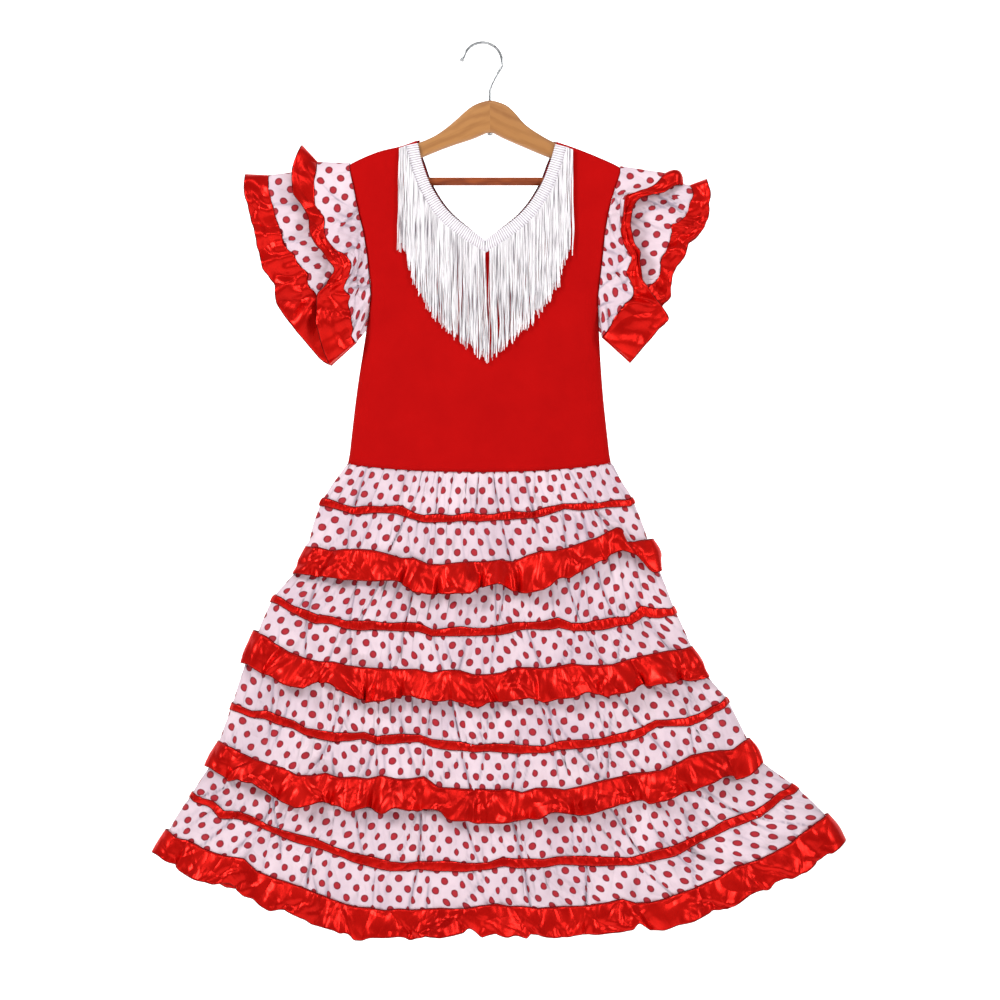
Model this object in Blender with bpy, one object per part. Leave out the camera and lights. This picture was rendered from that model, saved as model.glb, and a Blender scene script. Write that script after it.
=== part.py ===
# Child's flamenco dress hanging on a wooden hanger, spread flat as it is shown.
# X runs to the right in the front view, Y to the back and Z up, in metres.
# The origin is the inside top of the hook, where a rail carries the hanger.
# Tables are in millimetres, as a maker would measure them from that point.

import math
from collections import namedtuple

import bmesh
import bpy
import numpy as np
from mathutils import Vector
from mathutils.bvhtree import BVHTree

MM = 0.001
GAP = 0.3 * MM  # between pieces that touch
CLOTH = 1.2 * MM  # bodice, skirt and sleeve cloth
SATIN = 1.2 * MM  # ruffles, with their rolled hems
RIBBON = 0.8 * MM
RIBBON_HEIGHT = 8 * MM
SEAM_GAP = 0.7 * MM  # between the edges of two walls that are sewn end to end
SLEEVE_GAP = 1.1 * MM  # the same on the sleeves, where the walls meet at an angle

# Skirt levels, from the waist to the hem: how far the skirt reaches to the left and right of the origin,
# the height of its left end, middle and right end, and half its depth. The droops say how sharply
# it turns up towards each end. A lift is a fold that raises it at one share of its half width.
Level = namedtuple("Level", "left right z_left z_middle z_right half_depth droop_left droop_right lift lift_at")
SKIRT = {
    "waist": Level(-151, 144, -473, -482, -472, 15.5, 2.4, 2.4, 0, 0.6),
    "ribbon_1": Level(-178, 167, -516.5, -537, -515.5, 19, 3.4, 2.4, 6, 0.6),
    "ruffle_1": Level(-196, 189, -567, -588, -560, 23, 2.8, 2.6, 16, 0.74),
    "seam_1": Level(-205, 195, -594, -617, -589, 25, 2.4, 2.4, 5, 0.74),
    "ribbon_2": Level(-233, 213, -626, -664.5, -639.5, 28, 2.2, 2.4, 0, 0.6),
    "ruffle_2": Level(-255, 233, -662, -712, -680, 31, 3.2, 2.2, 0, 0.6),
    "seam_2": Level(-265, 248, -693, -741, -711, 33, 2.8, 2.4, 0, 0.6),
    "ribbon_3": Level(-280, 273, -748, -795.5, -741.5, 36, 2.6, 2.6, 0, 0.6),
    "ruffle_3": Level(-295, 298, -787, -844, -784, 39, 2.4, 2.4, 0, 0.6),
    "seam_3": Level(-306, 310, -816, -879, -811, 41, 2.4, 2.4, 0, 0.6),
    "ribbon_4": Level(-325, 350, -848.5, -926.5, -838.5, 44, 2.3, 2.7, 0, 0.6),
    "ruffle_4": Level(-355.5, 388, -887, -973, -869, 47, 2.3, 3, 0, 0.6),
    "hem": Level(-367, 406, -913, -1008, -897, 49, 2.6, 2.7, 0, 0.6),
}
LIFT_WIDTH = 0.16

# The tiers: how many gathers go round the cloth, and how many waves round the ruffle below it.
# A ruffle hangs below the seam that it hides by drop.
Tier = namedtuple("Tier", "top ribbon ruffle bottom gathers waves drop")
TIERS = [
    Tier("waist", "ribbon_1", "ruffle_1", "seam_1", 12, 18, 4),
    Tier("seam_1", "ribbon_2", "ruffle_2", "seam_2", 14, 20, 4),
    Tier("seam_2", "ribbon_3", "ruffle_3", "seam_3", 16, 22, -1),
    Tier("seam_3", "ribbon_4", None, "ruffle_4", 18, 24, 0),
]
GATHER_SWING = 2.4 * MM  # how far a gather stands in or out
GATHER_COLUMNS = 4  # columns of points for each gather
WAVE_COLUMNS = 6
RUFFLE_STANDS_OFF = 2.9 * MM  # at the seam that holds the ruffle
RUFFLE_FLARE = 12 * MM  # at its hem
RUFFLE_SWING = 6 * MM
HEM_RISE = 3 * MM  # how far the waves lift the ruffle's hem
LAST_FLARE = 8 * MM  # the hem ruffle, which is sewn to the edge of the cloth

# Bodice: the edges of each half, from the shoulder to the waist, and half the depth there.
# The inner edge is the neckline down to the point of the V, and then the centre line.
Row = namedtuple("Row", "outer_x outer_z inner_x inner_z edge_depth depth")
FOLD_ROWS = [(0.15, 0), (4.2, 0), (6.9, -2.0), (7.3, -7)]  # depth and drop where cloth turns over the hanger
BODICE = {
    "left": [
        Row(-149.7, -137, -74, -110, 7.3, 7.3),
        Row(-145.5, -162, -68, -136, 8.4, 8.2),
        Row(-140, -190, -57, -164, 9.2, 9),
        Row(-134, -214, -36, -193, 9.4, 9.7),
        Row(-130, -240, 3, -223, 9.2, 10.6),
        Row(-126, -284, 2, -280, 7.4, 13),
        Row(-131.5, -327, 1, -330, 0.8, 14),
        Row(-140.5, -385, -0.5, -392, 0.8, 15),
        Row(-151, -473, -3.5, -482, 0.8, 15.5),
    ],
    "right": [
        Row(155.4, -140.5, 83.5, -111.4, 7.3, 7.3),
        Row(149, -166, 76.5, -135, 8.4, 8.2),
        Row(142, -192, 65, -163, 9.2, 9),
        Row(138, -216, 43, -193, 9.4, 9.7),
        Row(135.5, -242, 3, -223, 9.2, 10.6),
        Row(130.5, -286, 2, -280, 7.4, 13),
        Row(131.6, -327.5, 1, -330, 0.8, 14),
        Row(135, -385, -0.5, -392, 0.8, 15),
        Row(144, -472, -3.5, -482, 0.8, 15.5),
    ],
}
V_ROW = 4  # the row of the point of the V
UNDERARM_ROW = 6
ACROSS = [0, 0.05, 0.2, 0.45, 0.72, 1]  # columns of each half, from its outer edge
SHOULDER = {  # the shoulder line, from the neck to the armhole
    "left": [(-74, -110), (-90, -115.8), (-116, -122.2), (-140, -132), (-149.7, -137)],
    "right": [(83.5, -111.4), (104.5, -118.5), (130.5, -128.8), (148, -136.6), (155.4, -140.5)],
}

# Sleeves: where each of the two flounces ends in the front view, from the top of the shoulder
# round to the underarm. The cloth ends where its satin edging starts, and the edging ends at its hem.
Flounce = namedtuple("Flounce", "down over_x over_z over_hem_x over_hem_z under_x under_z under_hem_x under_hem_z")
SLEEVES = {
    "left": [
        Flounce(0.00, -187, -134.5, -204, -116, -241, -149, -268, -149),
        Flounce(0.15, -188, -166, -214, -146, -237, -174, -266, -178),
        Flounce(0.30, -186, -194, -208, -184, -230, -204, -258, -210),
        Flounce(0.45, -170, -222, -193, -212, -216, -233, -251, -242),
        Flounce(0.60, -151, -250, -180, -242, -200, -256, -238, -270),
        Flounce(0.75, -151, -278, -170, -275, -188, -280, -226, -301),
        Flounce(0.90, -149, -306, -164, -309, -174, -304, -196, -338),
        Flounce(1.00, -143, -327, -150, -337, -146, -340, -171, -364),
    ],
    "right": [
        Flounce(0.00, 195, -143, 229, -142, 237, -158, 254, -153),
        Flounce(0.15, 178, -164, 213, -162, 237, -174, 257, -172),
        Flounce(0.30, 161, -182, 184, -176, 228, -194, 253, -200),
        Flounce(0.45, 156.5, -212, 170, -202, 213, -216, 241, -224),
        Flounce(0.60, 162, -240, 172, -235, 203, -240, 224, -252),
        Flounce(0.75, 166, -264, 180, -264, 194, -264, 211, -284),
        Flounce(0.90, 160, -294, 177, -298, 174, -292, 203, -322),
        Flounce(1.00, 138, -328, 150, -335, 146, -341, 168, -360.5),
    ],
}
UNDER_DEPTHS = (12.5, 17, 21)  # half depth of the under flounce: halfway, at its edging, at its hem
OVER_DEPTHS = (16.5, 21, 27)
OVER_STANDS_OFF = 2.2  # at the armhole, over the under flounce
SLEEVE_WAVES = 6  # on the front of each edging, and as many on the back
SLEEVE_SWING = 3.2 * MM
SLEEVE_CLOTH_COLUMNS = 12  # on the front of each flounce

# Fringe: a braid on each side of the V, with its strands hanging from its outer edge.
BRAID_WIDTH = 13 * MM
BRAID = 1.5 * MM
STRANDS = 56  # on each side
STRAND_LENGTH = 113 * MM
STRAND_THICKNESS = 0.9 * MM

# Hanger: two arms that meet in the middle, by station: place, top and bottom.
Station = namedtuple("Station", "x top bottom")
JOINT_X = 8.5
WOOD_THICKNESS = 12 * MM
WOOD_ROUNDING = 3 * MM
ARMS = {
    "left": [
        Station(8.3, -64.2, -100.6),
        Station(4.6, -64.5, -100.8),
        Station(1, -65.4, -102.4),
        Station(-12.5, -71.2, -108),
        Station(-21, -77.9, -110.8),
        Station(-31, -87, -114),
        Station(-50, -101.7, -121),
        Station(-69.5, -111, -129),
        Station(-90, -116.8, -136.8),
        Station(-116, -123.2, -146.6),
        Station(-123, -125.9, -149.2),
        Station(-123.5, -126.1, -165),
        Station(-140, -133, -165),
        Station(-143.5, -137, -161),
    ],
    "right": [
        Station(8.7, -64.2, -100.6),
        Station(12.4, -64.5, -100.8),
        Station(16, -65.4, -102.8),
        Station(29.3, -71.2, -109.3),
        Station(36.5, -77.9, -112.4),
        Station(45, -87.9, -116),
        Station(65, -102.8, -124.5),
        Station(83, -112.4, -131.5),
        Station(104.5, -119.5, -139.5),
        Station(126, -128, -148),
        Station(132.5, -130.6, -149.6),
        Station(133, -130.8, -165),
        Station(148, -137.6, -165),
        Station(151.5, -141.5, -161),
    ],
}
BAR_RADIUS = 4.6 * MM
BAR_Z = -155.4 * MM
BAR_ENDS = (-122.5 * MM, 132 * MM)
WIRE_RADIUS = 1.6 * MM
LOOP_RADIUS = 22.1 * MM  # of the wire's centre line
STEM_X = 8.5 * MM
WOOD_TOP = -64.2 * MM
NUT_RADIUS = 3 * MM
NUT_HEIGHT = 2.4 * MM

# Colour, roughness and metallic value of each material
MATERIALS = {
    "red_jersey": ((0.58, 0.006, 0.007), 0.85, 0),
    "dotted_cloth": ((0.78, 0.70, 0.80), 0.7, 0),
    "red_satin": ((0.68, 0.012, 0.008), 0.35, 0),
    "white_fringe": ((0.82, 0.80, 0.83), 0.6, 0),
    "beech": ((0.56, 0.26, 0.08), 0.45, 0),
    "dark_beech": ((0.28, 0.085, 0.03), 0.5, 0),
    "steel": ((0.45, 0.45, 0.46), 0.3, 1),
}


def clear_scene():
    for old in list(bpy.data.objects):
        bpy.data.objects.remove(old)


def material(name):
    found = bpy.data.materials.get(name)
    if found:
        return found
    colour, roughness, metallic = MATERIALS[name]
    made = bpy.data.materials.new(name)
    made.use_nodes = True
    shader = made.node_tree.nodes["Principled BSDF"]
    shader.inputs["Base Color"].default_value = (*colour, 1)
    shader.inputs["Roughness"].default_value = roughness
    shader.inputs["Metallic"].default_value = metallic
    return made


def add_object(name, data, slot):
    made = bpy.data.objects.new(name, data)
    data.materials.append(material(slot))
    bpy.context.scene.collection.objects.link(made)
    return made


def add_mesh(name, points, faces, slot):
    mesh = bpy.data.meshes.new(name)
    mesh.from_pydata([tuple(p) for p in points], [], faces)
    mesh.update()
    mesh.shade_smooth()
    return add_object(name, mesh, slot)


def add_solid(name, points, faces, slot):
    """A closed surface of points, with every face turned outwards."""
    solid = add_mesh(name, points, faces, slot)
    surface = bmesh.new()
    surface.from_mesh(solid.data)
    bmesh.ops.recalc_face_normals(surface, faces=surface.faces)
    surface.to_mesh(solid.data)
    surface.free()
    return solid


def add_wall(name, points, faces, thickness, slot):
    """A sheet of points with its cloth's thickness, half on each side."""
    sheet = add_mesh(name, points, faces, slot)
    wall = sheet.modifiers.new("Cloth", "SOLIDIFY")
    wall.thickness = thickness
    wall.offset = 0
    wall.use_even_offset = True
    return sheet


def smooth(knots, values, at):
    """A smooth curve through values at knots, read at the places in at."""
    knots = np.asarray(knots, float)
    values = np.asarray(values, float)
    at = np.asarray(at, float)
    slopes = np.gradient(values, knots)
    i = np.clip(np.searchsorted(knots, at, side="right") - 1, 0, len(knots) - 2)
    step = knots[i + 1] - knots[i]
    f = (at - knots[i]) / step
    return (
        values[i] * (1 + 2 * f) * (1 - f) ** 2
        + values[i + 1] * f * f * (3 - 2 * f)
        + slopes[i] * step * f * (1 - f) ** 2
        - slopes[i + 1] * step * f * f * (1 - f)
    )


def grid_faces(rows, columns, closed):
    """The quads between rows of points, which are closed when a row runs round a tube."""
    faces = []
    for r in range(rows - 1):
        for c in range(columns if closed else columns - 1):
            right = (c + 1) % columns
            faces.append((r * columns + c, r * columns + right, (r + 1) * columns + right, (r + 1) * columns + c))
    return faces


def stacked(rows, closed):
    rows = np.array(rows)
    return rows.reshape(-1, 3), grid_faces(len(rows), rows.shape[1], closed)


# Skirt


def between(upper, lower, share):
    """The level at a share of the way from one level down to another."""
    return Level(*(a + (b - a) * share for a, b in zip(upper, lower)))


def ring(level, round_it):
    """Points at shares of the way round a level, and the ways out of the skirt there.

    Share 0 is the left end. The front comes first, then the right end and the back.
    """
    half = (level.right - level.left) / 2 * MM
    depth = level.half_depth * MM
    turn = np.linspace(0, 2 * math.pi, 1441)
    outline = np.stack([-half * np.cos(turn), -depth * np.sin(turn)], axis=1)
    run = np.concatenate([[0], np.cumsum(np.linalg.norm(np.diff(outline, axis=0), axis=1))])
    angle = np.interp(np.mod(round_it, 1), run / run[-1], turn)
    side = -np.cos(angle)
    end_z = np.where(side < 0, level.z_left, level.z_right)
    lift = level.lift * np.exp(-(((side - level.lift_at) / LIFT_WIDTH) ** 2))
    droop = np.where(side < 0, level.droop_left, level.droop_right)
    z = (level.z_middle + (end_z - level.z_middle) * np.abs(side) ** droop + lift) * MM
    points = np.stack([(level.left + level.right) / 2 * MM + half * side, -depth * np.sin(angle), z], axis=1)
    out = np.stack([side / half, -np.sin(angle) / depth, np.zeros_like(side)], axis=1)
    return points, out / np.linalg.norm(out, axis=1)[:, None]


def waves(count, columns, seed):
    """Uneven waves round a ring: each column's share of the way round, its wave from -1 to 1, and its slope."""
    share = np.linspace(0, 1, 4001)
    uneven = 0.13 * np.sin(6 * math.pi * share) * math.cos(seed) + 0.09 * np.sin(14 * math.pi * share)
    uneven += 0.1 * (1 - np.cos(8 * math.pi * share)) * math.sin(2 * seed + 1)
    phase = count * share + uneven
    at = np.arange(count * columns) / columns
    round_it = np.interp(at, phase, share)
    strength = 0.8 + 0.2 * np.sin(2 * math.pi * (3 * round_it + 0.3 * seed))
    return round_it, strength * np.cos(2 * math.pi * at), strength * np.sin(2 * math.pi * at)


def moved_out(row, down, amount):
    """A ring of points moved out of a wall that runs down from it, so that new walls lie parallel to the old."""
    faces = np.cross(down, np.roll(row, -1, axis=0) - row)
    faces /= np.linalg.norm(faces, axis=1)[:, None]
    out = faces + np.roll(faces, 1, axis=0)
    return row + out * amount * 2 / np.maximum(np.sum(out * out, axis=1), 0.5)[:, None]


def lowered(points, amount):
    return points + np.array([0, 0, -amount])


def add_tier(number, tier):
    """One gathered tier of dotted cloth, with the ribbon that is sewn across its folds."""
    top, ribbon, bottom = SKIRT[tier.top], SKIRT[tier.ribbon], SKIRT[tier.bottom]
    round_it, wave, _ = waves(tier.gathers, GATHER_COLUMNS, number)
    reach = RIBBON_HEIGHT / 2 + GAP
    up = reach / ((top.z_middle - ribbon.z_middle) * MM)
    down = reach / ((ribbon.z_middle - bottom.z_middle) * MM)
    rows = []
    for level, swing in [
        (top, 0),
        (between(ribbon, top, up), GATHER_SWING),
        (between(ribbon, bottom, down), GATHER_SWING),
        (bottom, 0),
    ]:
        points, out = ring(level, round_it)
        rows.append(points + out * (swing * wave)[:, None])
    rows[0] = lowered(rows[0], SEAM_GAP)
    add_wall(f"tier_{number}", *stacked(rows, True), CLOTH, "dotted_cloth")
    upper, lower = rows[1], rows[2]
    margin = GAP / (2 * reach)
    stand = CLOTH / 2 + RIBBON / 2 + GAP
    down = lower - upper
    strip = [moved_out(upper + down * share, down, stand) for share in (margin, 1 - margin)]
    add_wall(f"ribbon_{number}", *stacked(strip, True), RIBBON, "red_satin")


def add_ruffle(number, tier):
    """The satin ruffle at the foot of a tier: gathered at its top and waving at its hem."""
    last = tier.ruffle is None
    top = SKIRT[tier.bottom if last else tier.ruffle]
    hem = SKIRT["hem" if last else tier.bottom]
    round_it, wave, slope = waves(tier.waves, WAVE_COLUMNS, number + 0.5)
    head, out = ring(top, round_it)
    head = lowered(head, SEAM_GAP) if last else head + out * RUFFLE_STANDS_OFF
    foot, out = ring(hem, round_it)
    flare = LAST_FLARE if last else RUFFLE_FLARE
    at_end = out[:, 0] ** 2
    foot = foot + out * (flare * (1 - 0.45 * at_end) + RUFFLE_SWING * (1 - 0.8 * at_end) * wave)[:, None]
    foot[:, 2] += HEM_RISE * slope - tier.drop * MM
    add_wall(f"ruffle_{number}", *stacked([head, foot], True), SATIN, "red_satin")


# Bodice


def shoulder_z(side, x):
    line = SHOULDER[side] if side == "right" else SHOULDER[side][::-1]
    return smooth([p[0] for p in line], [p[1] for p in line], x)


def lens(across):
    """How full the body is at a share of the way from its side to its middle."""
    return math.sqrt(1 - (1 - min(across, 1)) ** 2)


def bodice_rows(side, front):
    """Rows of points of one half of the front or back, with the fold over the hanger first."""
    table = BODICE[side]
    centre = table[V_ROW].inner_x
    rows = []
    first = table[0]
    levels = [(first, depth, drop) for depth, drop in FOLD_ROWS]
    levels += [(row, None, 0) for row in table[1:]]
    for number, (row, fold_depth, drop) in enumerate(levels):
        points = []
        fade = max(0, 1 - max(0, number - len(FOLD_ROWS) + 1) / (V_ROW + 1))
        for across in ACROSS:
            x = row.outer_x + (row.inner_x - row.outer_x) * across
            rise = (1 - across) ** (SKIRT["waist"].droop_left if row is table[-1] else 1)
            z = row.inner_z + (row.outer_z - row.inner_z) * rise
            line_z = first.outer_z + (first.inner_z - first.outer_z) * across
            line_x = first.outer_x + (first.inner_x - first.outer_x) * across
            z += (shoulder_z(side, line_x) - line_z) * fade + drop
            share = (x - row.outer_x) / ((centre if row.inner_z > table[V_ROW].inner_z else row.inner_x) - row.outer_x)
            depth = row.edge_depth + (row.depth - row.edge_depth) * lens(share)
            if fold_depth is not None:
                depth = fold_depth
            points.append((x * MM, -depth * MM if front else depth * MM, z * MM))
        rows.append(points)
    return rows


def add_bodice(front):
    """One panel of the bodice, in two halves that join below the point of the V."""
    name = "bodice_front" if front else "bodice_back"
    points, faces = [], []
    for side in ("left", "right"):
        half, quads = stacked(bodice_rows(side, front), False)
        order = 1 if side == "left" else -1
        faces += [tuple(i + len(points) for i in quad)[::order] for quad in quads]
        points += [tuple(p) for p in half]
    panel = add_wall(name, points, faces, CLOTH, "red_jersey")
    join = panel.modifiers.new("Centre line", "WELD")
    join.merge_threshold = 0.01 * MM
    bpy.context.view_layer.objects.active = panel
    panel.modifiers.move(1, 0)


# Sleeves


def armhole(side, down, lower_by=0):
    """The armhole's edge on the front, at shares of the way from the shoulder to the underarm, in millimetres."""
    table = BODICE[side][: UNDERARM_ROW + 1]
    knots = [0, 0.012, 0.03, 0.06] + [0.15, 0.3, 0.43, 0.56, 0.8, 1]
    x = [table[0].outer_x] * 4 + [row.outer_x for row in table[1:]]
    z = [table[0].outer_z + drop for _, drop in FOLD_ROWS] + [row.outer_z for row in table[1:]]
    depth = [depth for depth, _ in FOLD_ROWS] + [row.edge_depth for row in table[1:]]
    depth[-1] = 0
    depth[0] = 0
    return tuple(np.interp(down, knots, values) for values in (x, z, depth))


def roundness(down, end_share):
    """The shape of a flattened sleeve's depth, from the fold at the shoulder to end_share at the underarm."""
    closing = (1 - np.abs(2 * down - 1) ** 2.5) ** 0.4
    return np.where(down < 0.5, closing, np.maximum(closing, end_share))


def flounce_edge(side, name, down):
    table = SLEEVES[side]
    knots = [row.down for row in table]
    return tuple(smooth(knots, [getattr(row, f"{name}_{axis}") for row in table], down) for axis in "xz")


def sleeve_row(side, x, z, depth, both):
    """A row of points that runs down the front and, when both, up the back."""
    front = np.stack([x, -depth, z], axis=1) * MM
    back = np.stack([x, depth, z], axis=1)[::-1] * MM
    return front, back


def joined(front, back, closed):
    """The front and back of a flounce as one row: round the underarm when closed, over the shoulder when not."""
    if closed:
        return np.concatenate([front, back[1:-1]])
    return np.concatenate([front[::-1], back[::-1][1:]])


def flounce_rows(side, over, down, rows):
    closed = not over
    made = []
    for x, z, depth in rows:
        front, back = sleeve_row(side, x, z, depth, True)
        made.append(joined(front, back, closed))
    return made


def add_flounce(side, over):
    """One flounce of dotted cloth from the armhole, and the satin edging sewn to its edge.

    The under flounce goes right round the arm. The over flounce lies on it, and stops at the underarm.
    """
    layer = "over" if over else "under"
    depths = OVER_DEPTHS if over else UNDER_DEPTHS
    end_share = 0.72 if over else 0
    outward = -1 if side == "left" else 1
    down = np.linspace(0, 1, SLEEVE_CLOTH_COLUMNS + 1)
    down = 0.5 * down + 0.25 * (1 - np.cos(math.pi * down))  # closer together at both ends
    arm_down = down * (0.93 if over else 0.985)
    arm_x, arm_z, arm_depth = armhole(side, arm_down)
    if over:
        arm_depth = arm_depth + OVER_STANDS_OFF * np.minimum(1, down / 0.1)
        arm_z = arm_z + OVER_STANDS_OFF * np.maximum(0, 1 - down / 0.1)
    if not over:
        arm_depth[-1] = 0
    arm_x = arm_x + outward * SLEEVE_GAP / MM
    edge_x, edge_z = flounce_edge(side, layer, down)
    shape = roundness(down, end_share)
    middle = (0.5 * (arm_x + edge_x), 0.5 * (arm_z + edge_z), depths[0] * shape)
    cloth = flounce_rows(side, over, down, [(arm_x, arm_z, arm_depth), middle, (edge_x, edge_z, depths[1] * shape)])
    add_wall(f"sleeve_{side}_{layer}", *stacked(cloth, not over), CLOTH, "dotted_cloth")

    steps = np.arange(SLEEVE_WAVES * GATHER_COLUMNS + 1)
    cloth_steps = np.linspace(0, steps[-1], SLEEVE_CLOTH_COLUMNS + 1)
    start_x, start_z, start_depth, down = (
        np.interp(steps, cloth_steps, values) for values in (edge_x, edge_z, depths[1] * shape, down)
    )
    wave = np.cos(2 * math.pi * steps / GATHER_COLUMNS) * np.sin(math.pi * down) ** 0.5
    hem_x, hem_z = flounce_edge(side, f"{layer}_hem", down)
    run = np.stack([hem_x - start_x, hem_z - start_z], axis=1)
    run /= np.linalg.norm(run, axis=1)[:, None]
    start_x = start_x + run[:, 0] * SLEEVE_GAP / MM
    start_z = start_z + run[:, 1] * SLEEVE_GAP / MM
    hem_depth = depths[2] * roundness(down, end_share) + SLEEVE_SWING / MM * wave
    edging = flounce_rows(side, over, down, [(start_x, start_z, start_depth), (hem_x, hem_z, hem_depth)])
    add_wall(f"sleeve_{side}_{layer}_edging", *stacked(edging, not over), SATIN, "red_satin")


# Fringe


def front_surface():
    """A function that gives the y of the bodice's outer face at an x and a z, in millimetres."""
    panel = bpy.data.objects["bodice_front"]
    tree = BVHTree.FromObject(panel, bpy.context.evaluated_depsgraph_get())

    def face_y(x, z):
        hit = tree.ray_cast(Vector((x * MM, -0.2, z * MM)), Vector((0, 1, 0)))[0]
        return hit.y / MM if hit else 0

    return face_y


def neck_line(side, along):
    """The neckline at shares of the way from the shoulder down to the V, and the way across the braid."""
    table = BODICE[side][: V_ROW + 1]
    knots = np.linspace(0, 1, len(table))
    x = smooth(knots, [row.inner_x for row in table], along)
    z = smooth(knots, [row.inner_z for row in table], along)
    return x, z


def add_fringe(side):
    """The braid along one side of the V, and its strands, which grow from its outer edge."""
    outward = -1 if side == "left" else 1
    along = np.linspace(0.035, 1, STRANDS + 1)
    neck_x, neck_z = neck_line(side, along)
    slope = np.stack([np.gradient(neck_x), np.gradient(neck_z)], axis=1)
    slope /= np.linalg.norm(slope, axis=1)[:, None]
    across = np.stack([slope[:, 1] * -outward, slope[:, 0] * outward], axis=1)
    mitre = np.clip((along - 0.8) / 0.2, 0, 1) ** 2
    across = across * (1 - mitre)[:, None] + np.array([0, -1]) * mitre[:, None]
    across /= np.linalg.norm(across, axis=1)[:, None]
    neck_x = neck_x + outward * GAP / MM * mitre
    outer_x = neck_x + across[:, 0] * BRAID_WIDTH / MM
    outer_z = neck_z + across[:, 1] * BRAID_WIDTH / MM

    face_y = front_surface()
    clear = 2 * GAP / MM
    points, faces = [], []
    for i in range(STRANDS + 1):
        inset_x = neck_x[i] + 0.15 * (outer_x[i] - neck_x[i])
        inset_z = neck_z[i] + 0.15 * (outer_z[i] - neck_z[i])
        back = min(face_y(inset_x, inset_z), face_y(outer_x[i], outer_z[i])) - clear
        for x, z in ((neck_x[i], neck_z[i]), (outer_x[i], outer_z[i])):
            for extra in (0, BRAID / MM):
                points.append((x, back - extra, z))
    corner = lambda i, k: 4 * i + k  # k: 0 inner back, 1 inner front, 2 outer back, 3 outer front
    for i in range(STRANDS):
        faces.append((corner(i, 0), corner(i, 2), corner(i + 1, 2), corner(i + 1, 0)))
        faces.append((corner(i, 1), corner(i + 1, 1), corner(i + 1, 3), corner(i, 3)))
        faces.append((corner(i, 0), corner(i + 1, 0), corner(i + 1, 1), corner(i, 1)))
    for i in (0, STRANDS):
        faces.append((corner(i, 0), corner(i, 1), corner(i, 3), corner(i, 2)))

    thick = STRAND_THICKNESS / MM
    for i in range(STRANDS):
        share = (i + 0.5) / STRANDS
        root_x = (outer_x[i] + outer_x[i + 1]) / 2
        root_z = (outer_z[i] + outer_z[i + 1]) / 2
        hang_x = root_x + outward * 7 * (1 - share) ** 3
        width = min(1.3, 1.6 * abs(outer_x[i + 1] - outer_x[i]))
        layer = 0.2 if i % 2 else 0.2 + thick + 0.3
        jitter = 3 * math.sin(12.9 * i)
        previous = [corner(i, 2), corner(i + 1, 2), corner(i + 1, 3), corner(i, 3)]
        drops = np.array([7, STRAND_LENGTH / MM + jitter])
        faces_y = [face_y(hang_x, root_z - drop) for drop in drops]
        along_it = np.linspace(0, 1, 9)
        bulge = max(
            np.interp(t, (0, 1), faces_y) - face_y(hang_x, root_z - np.interp(t, (0, 1), drops)) for t in along_it
        )
        for drop, y in zip(drops, faces_y):
            z = root_z - drop
            back = y - bulge - clear - layer
            start = len(points)
            left, right = hang_x - outward * -width / 2, hang_x + outward * -width / 2
            for x, y in ((left, back), (right, back), (right, back - thick), (left, back - thick)):
                points.append((x, y, z))
            ring_now = [start, start + 1, start + 2, start + 3]
            for k in range(4):
                faces.append((previous[k], previous[(k + 1) % 4], ring_now[(k + 1) % 4], ring_now[k]))
            previous = ring_now
        faces.append(tuple(previous))
    add_solid(f"fringe_{side}", np.array(points) * MM, faces, "white_fringe")


# Hanger


def add_arm(side):
    """One arm of the hanger, a bar of rounded section through its stations."""
    half = WOOD_THICKNESS / 2
    corner = WOOD_ROUNDING
    turns = [math.radians(a) for a in (0, 45, 90)]
    points = []
    for station in ARMS[side]:
        top, bottom = station.top * MM, station.bottom * MM
        centres = [(half - corner, top - corner), (corner - half, top - corner)]
        centres += [(corner - half, bottom + corner), (half - corner, bottom + corner)]
        for quarter, (y, z) in enumerate(centres):
            for turn in turns:
                angle = turn + quarter * math.pi / 2
                points.append((station.x * MM, y + corner * math.cos(angle), z + corner * math.sin(angle)))
    size = 4 * len(turns)
    faces = grid_faces(len(ARMS[side]), size, True)
    faces += [tuple(range(size)), tuple(range(len(points) - size, len(points)))]
    add_solid(f"hanger_arm_{side}", points, faces, "beech")


def add_rod(name, points, radii, radius, slot):
    """A wire or bar along points, each with its share of the radius."""
    curve = bpy.data.curves.new(name, "CURVE")
    curve.dimensions = "3D"
    curve.bevel_depth = radius
    curve.bevel_resolution = 2
    curve.use_fill_caps = True
    spline = curve.splines.new("POLY")
    spline.points.add(len(points) - 1)
    for point, place, share in zip(spline.points, points, radii):
        point.co = (*place, 1)
        point.radius = share
    return add_object(name, curve, slot)


def add_hook():
    """The wire hook: a stem, a bend out to the loop, and a round tip."""
    centre_z = WIRE_RADIUS - LOOP_RADIUS
    path = [(STEM_X, WOOD_TOP + GAP), (STEM_X, WOOD_TOP + 8 * MM), (STEM_X + 0.3 * MM, WOOD_TOP + 14 * MM)]
    path += [(STEM_X + 3 * MM, WOOD_TOP + 21 * MM), (STEM_X + 8.5 * MM, WOOD_TOP + 31 * MM)]
    for degrees in range(-15, 166, 15):
        angle = math.radians(degrees)
        path.append((LOOP_RADIUS * math.cos(angle), centre_z + LOOP_RADIUS * math.sin(angle)))
    shares = [1.0] * len(path)
    tip_x, tip_z = path[-1]
    for step, share in ((2.4, 1), (3.0, 1.5), (4.4, 1.6), (5.6, 0.9)):
        path.append((tip_x - step * 0.5 * MM, tip_z - step * 0.87 * MM))
        shares.append(share)
    add_rod("hanger_hook", [(x, 0, z) for x, z in path], shares, WIRE_RADIUS, "steel")


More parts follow.
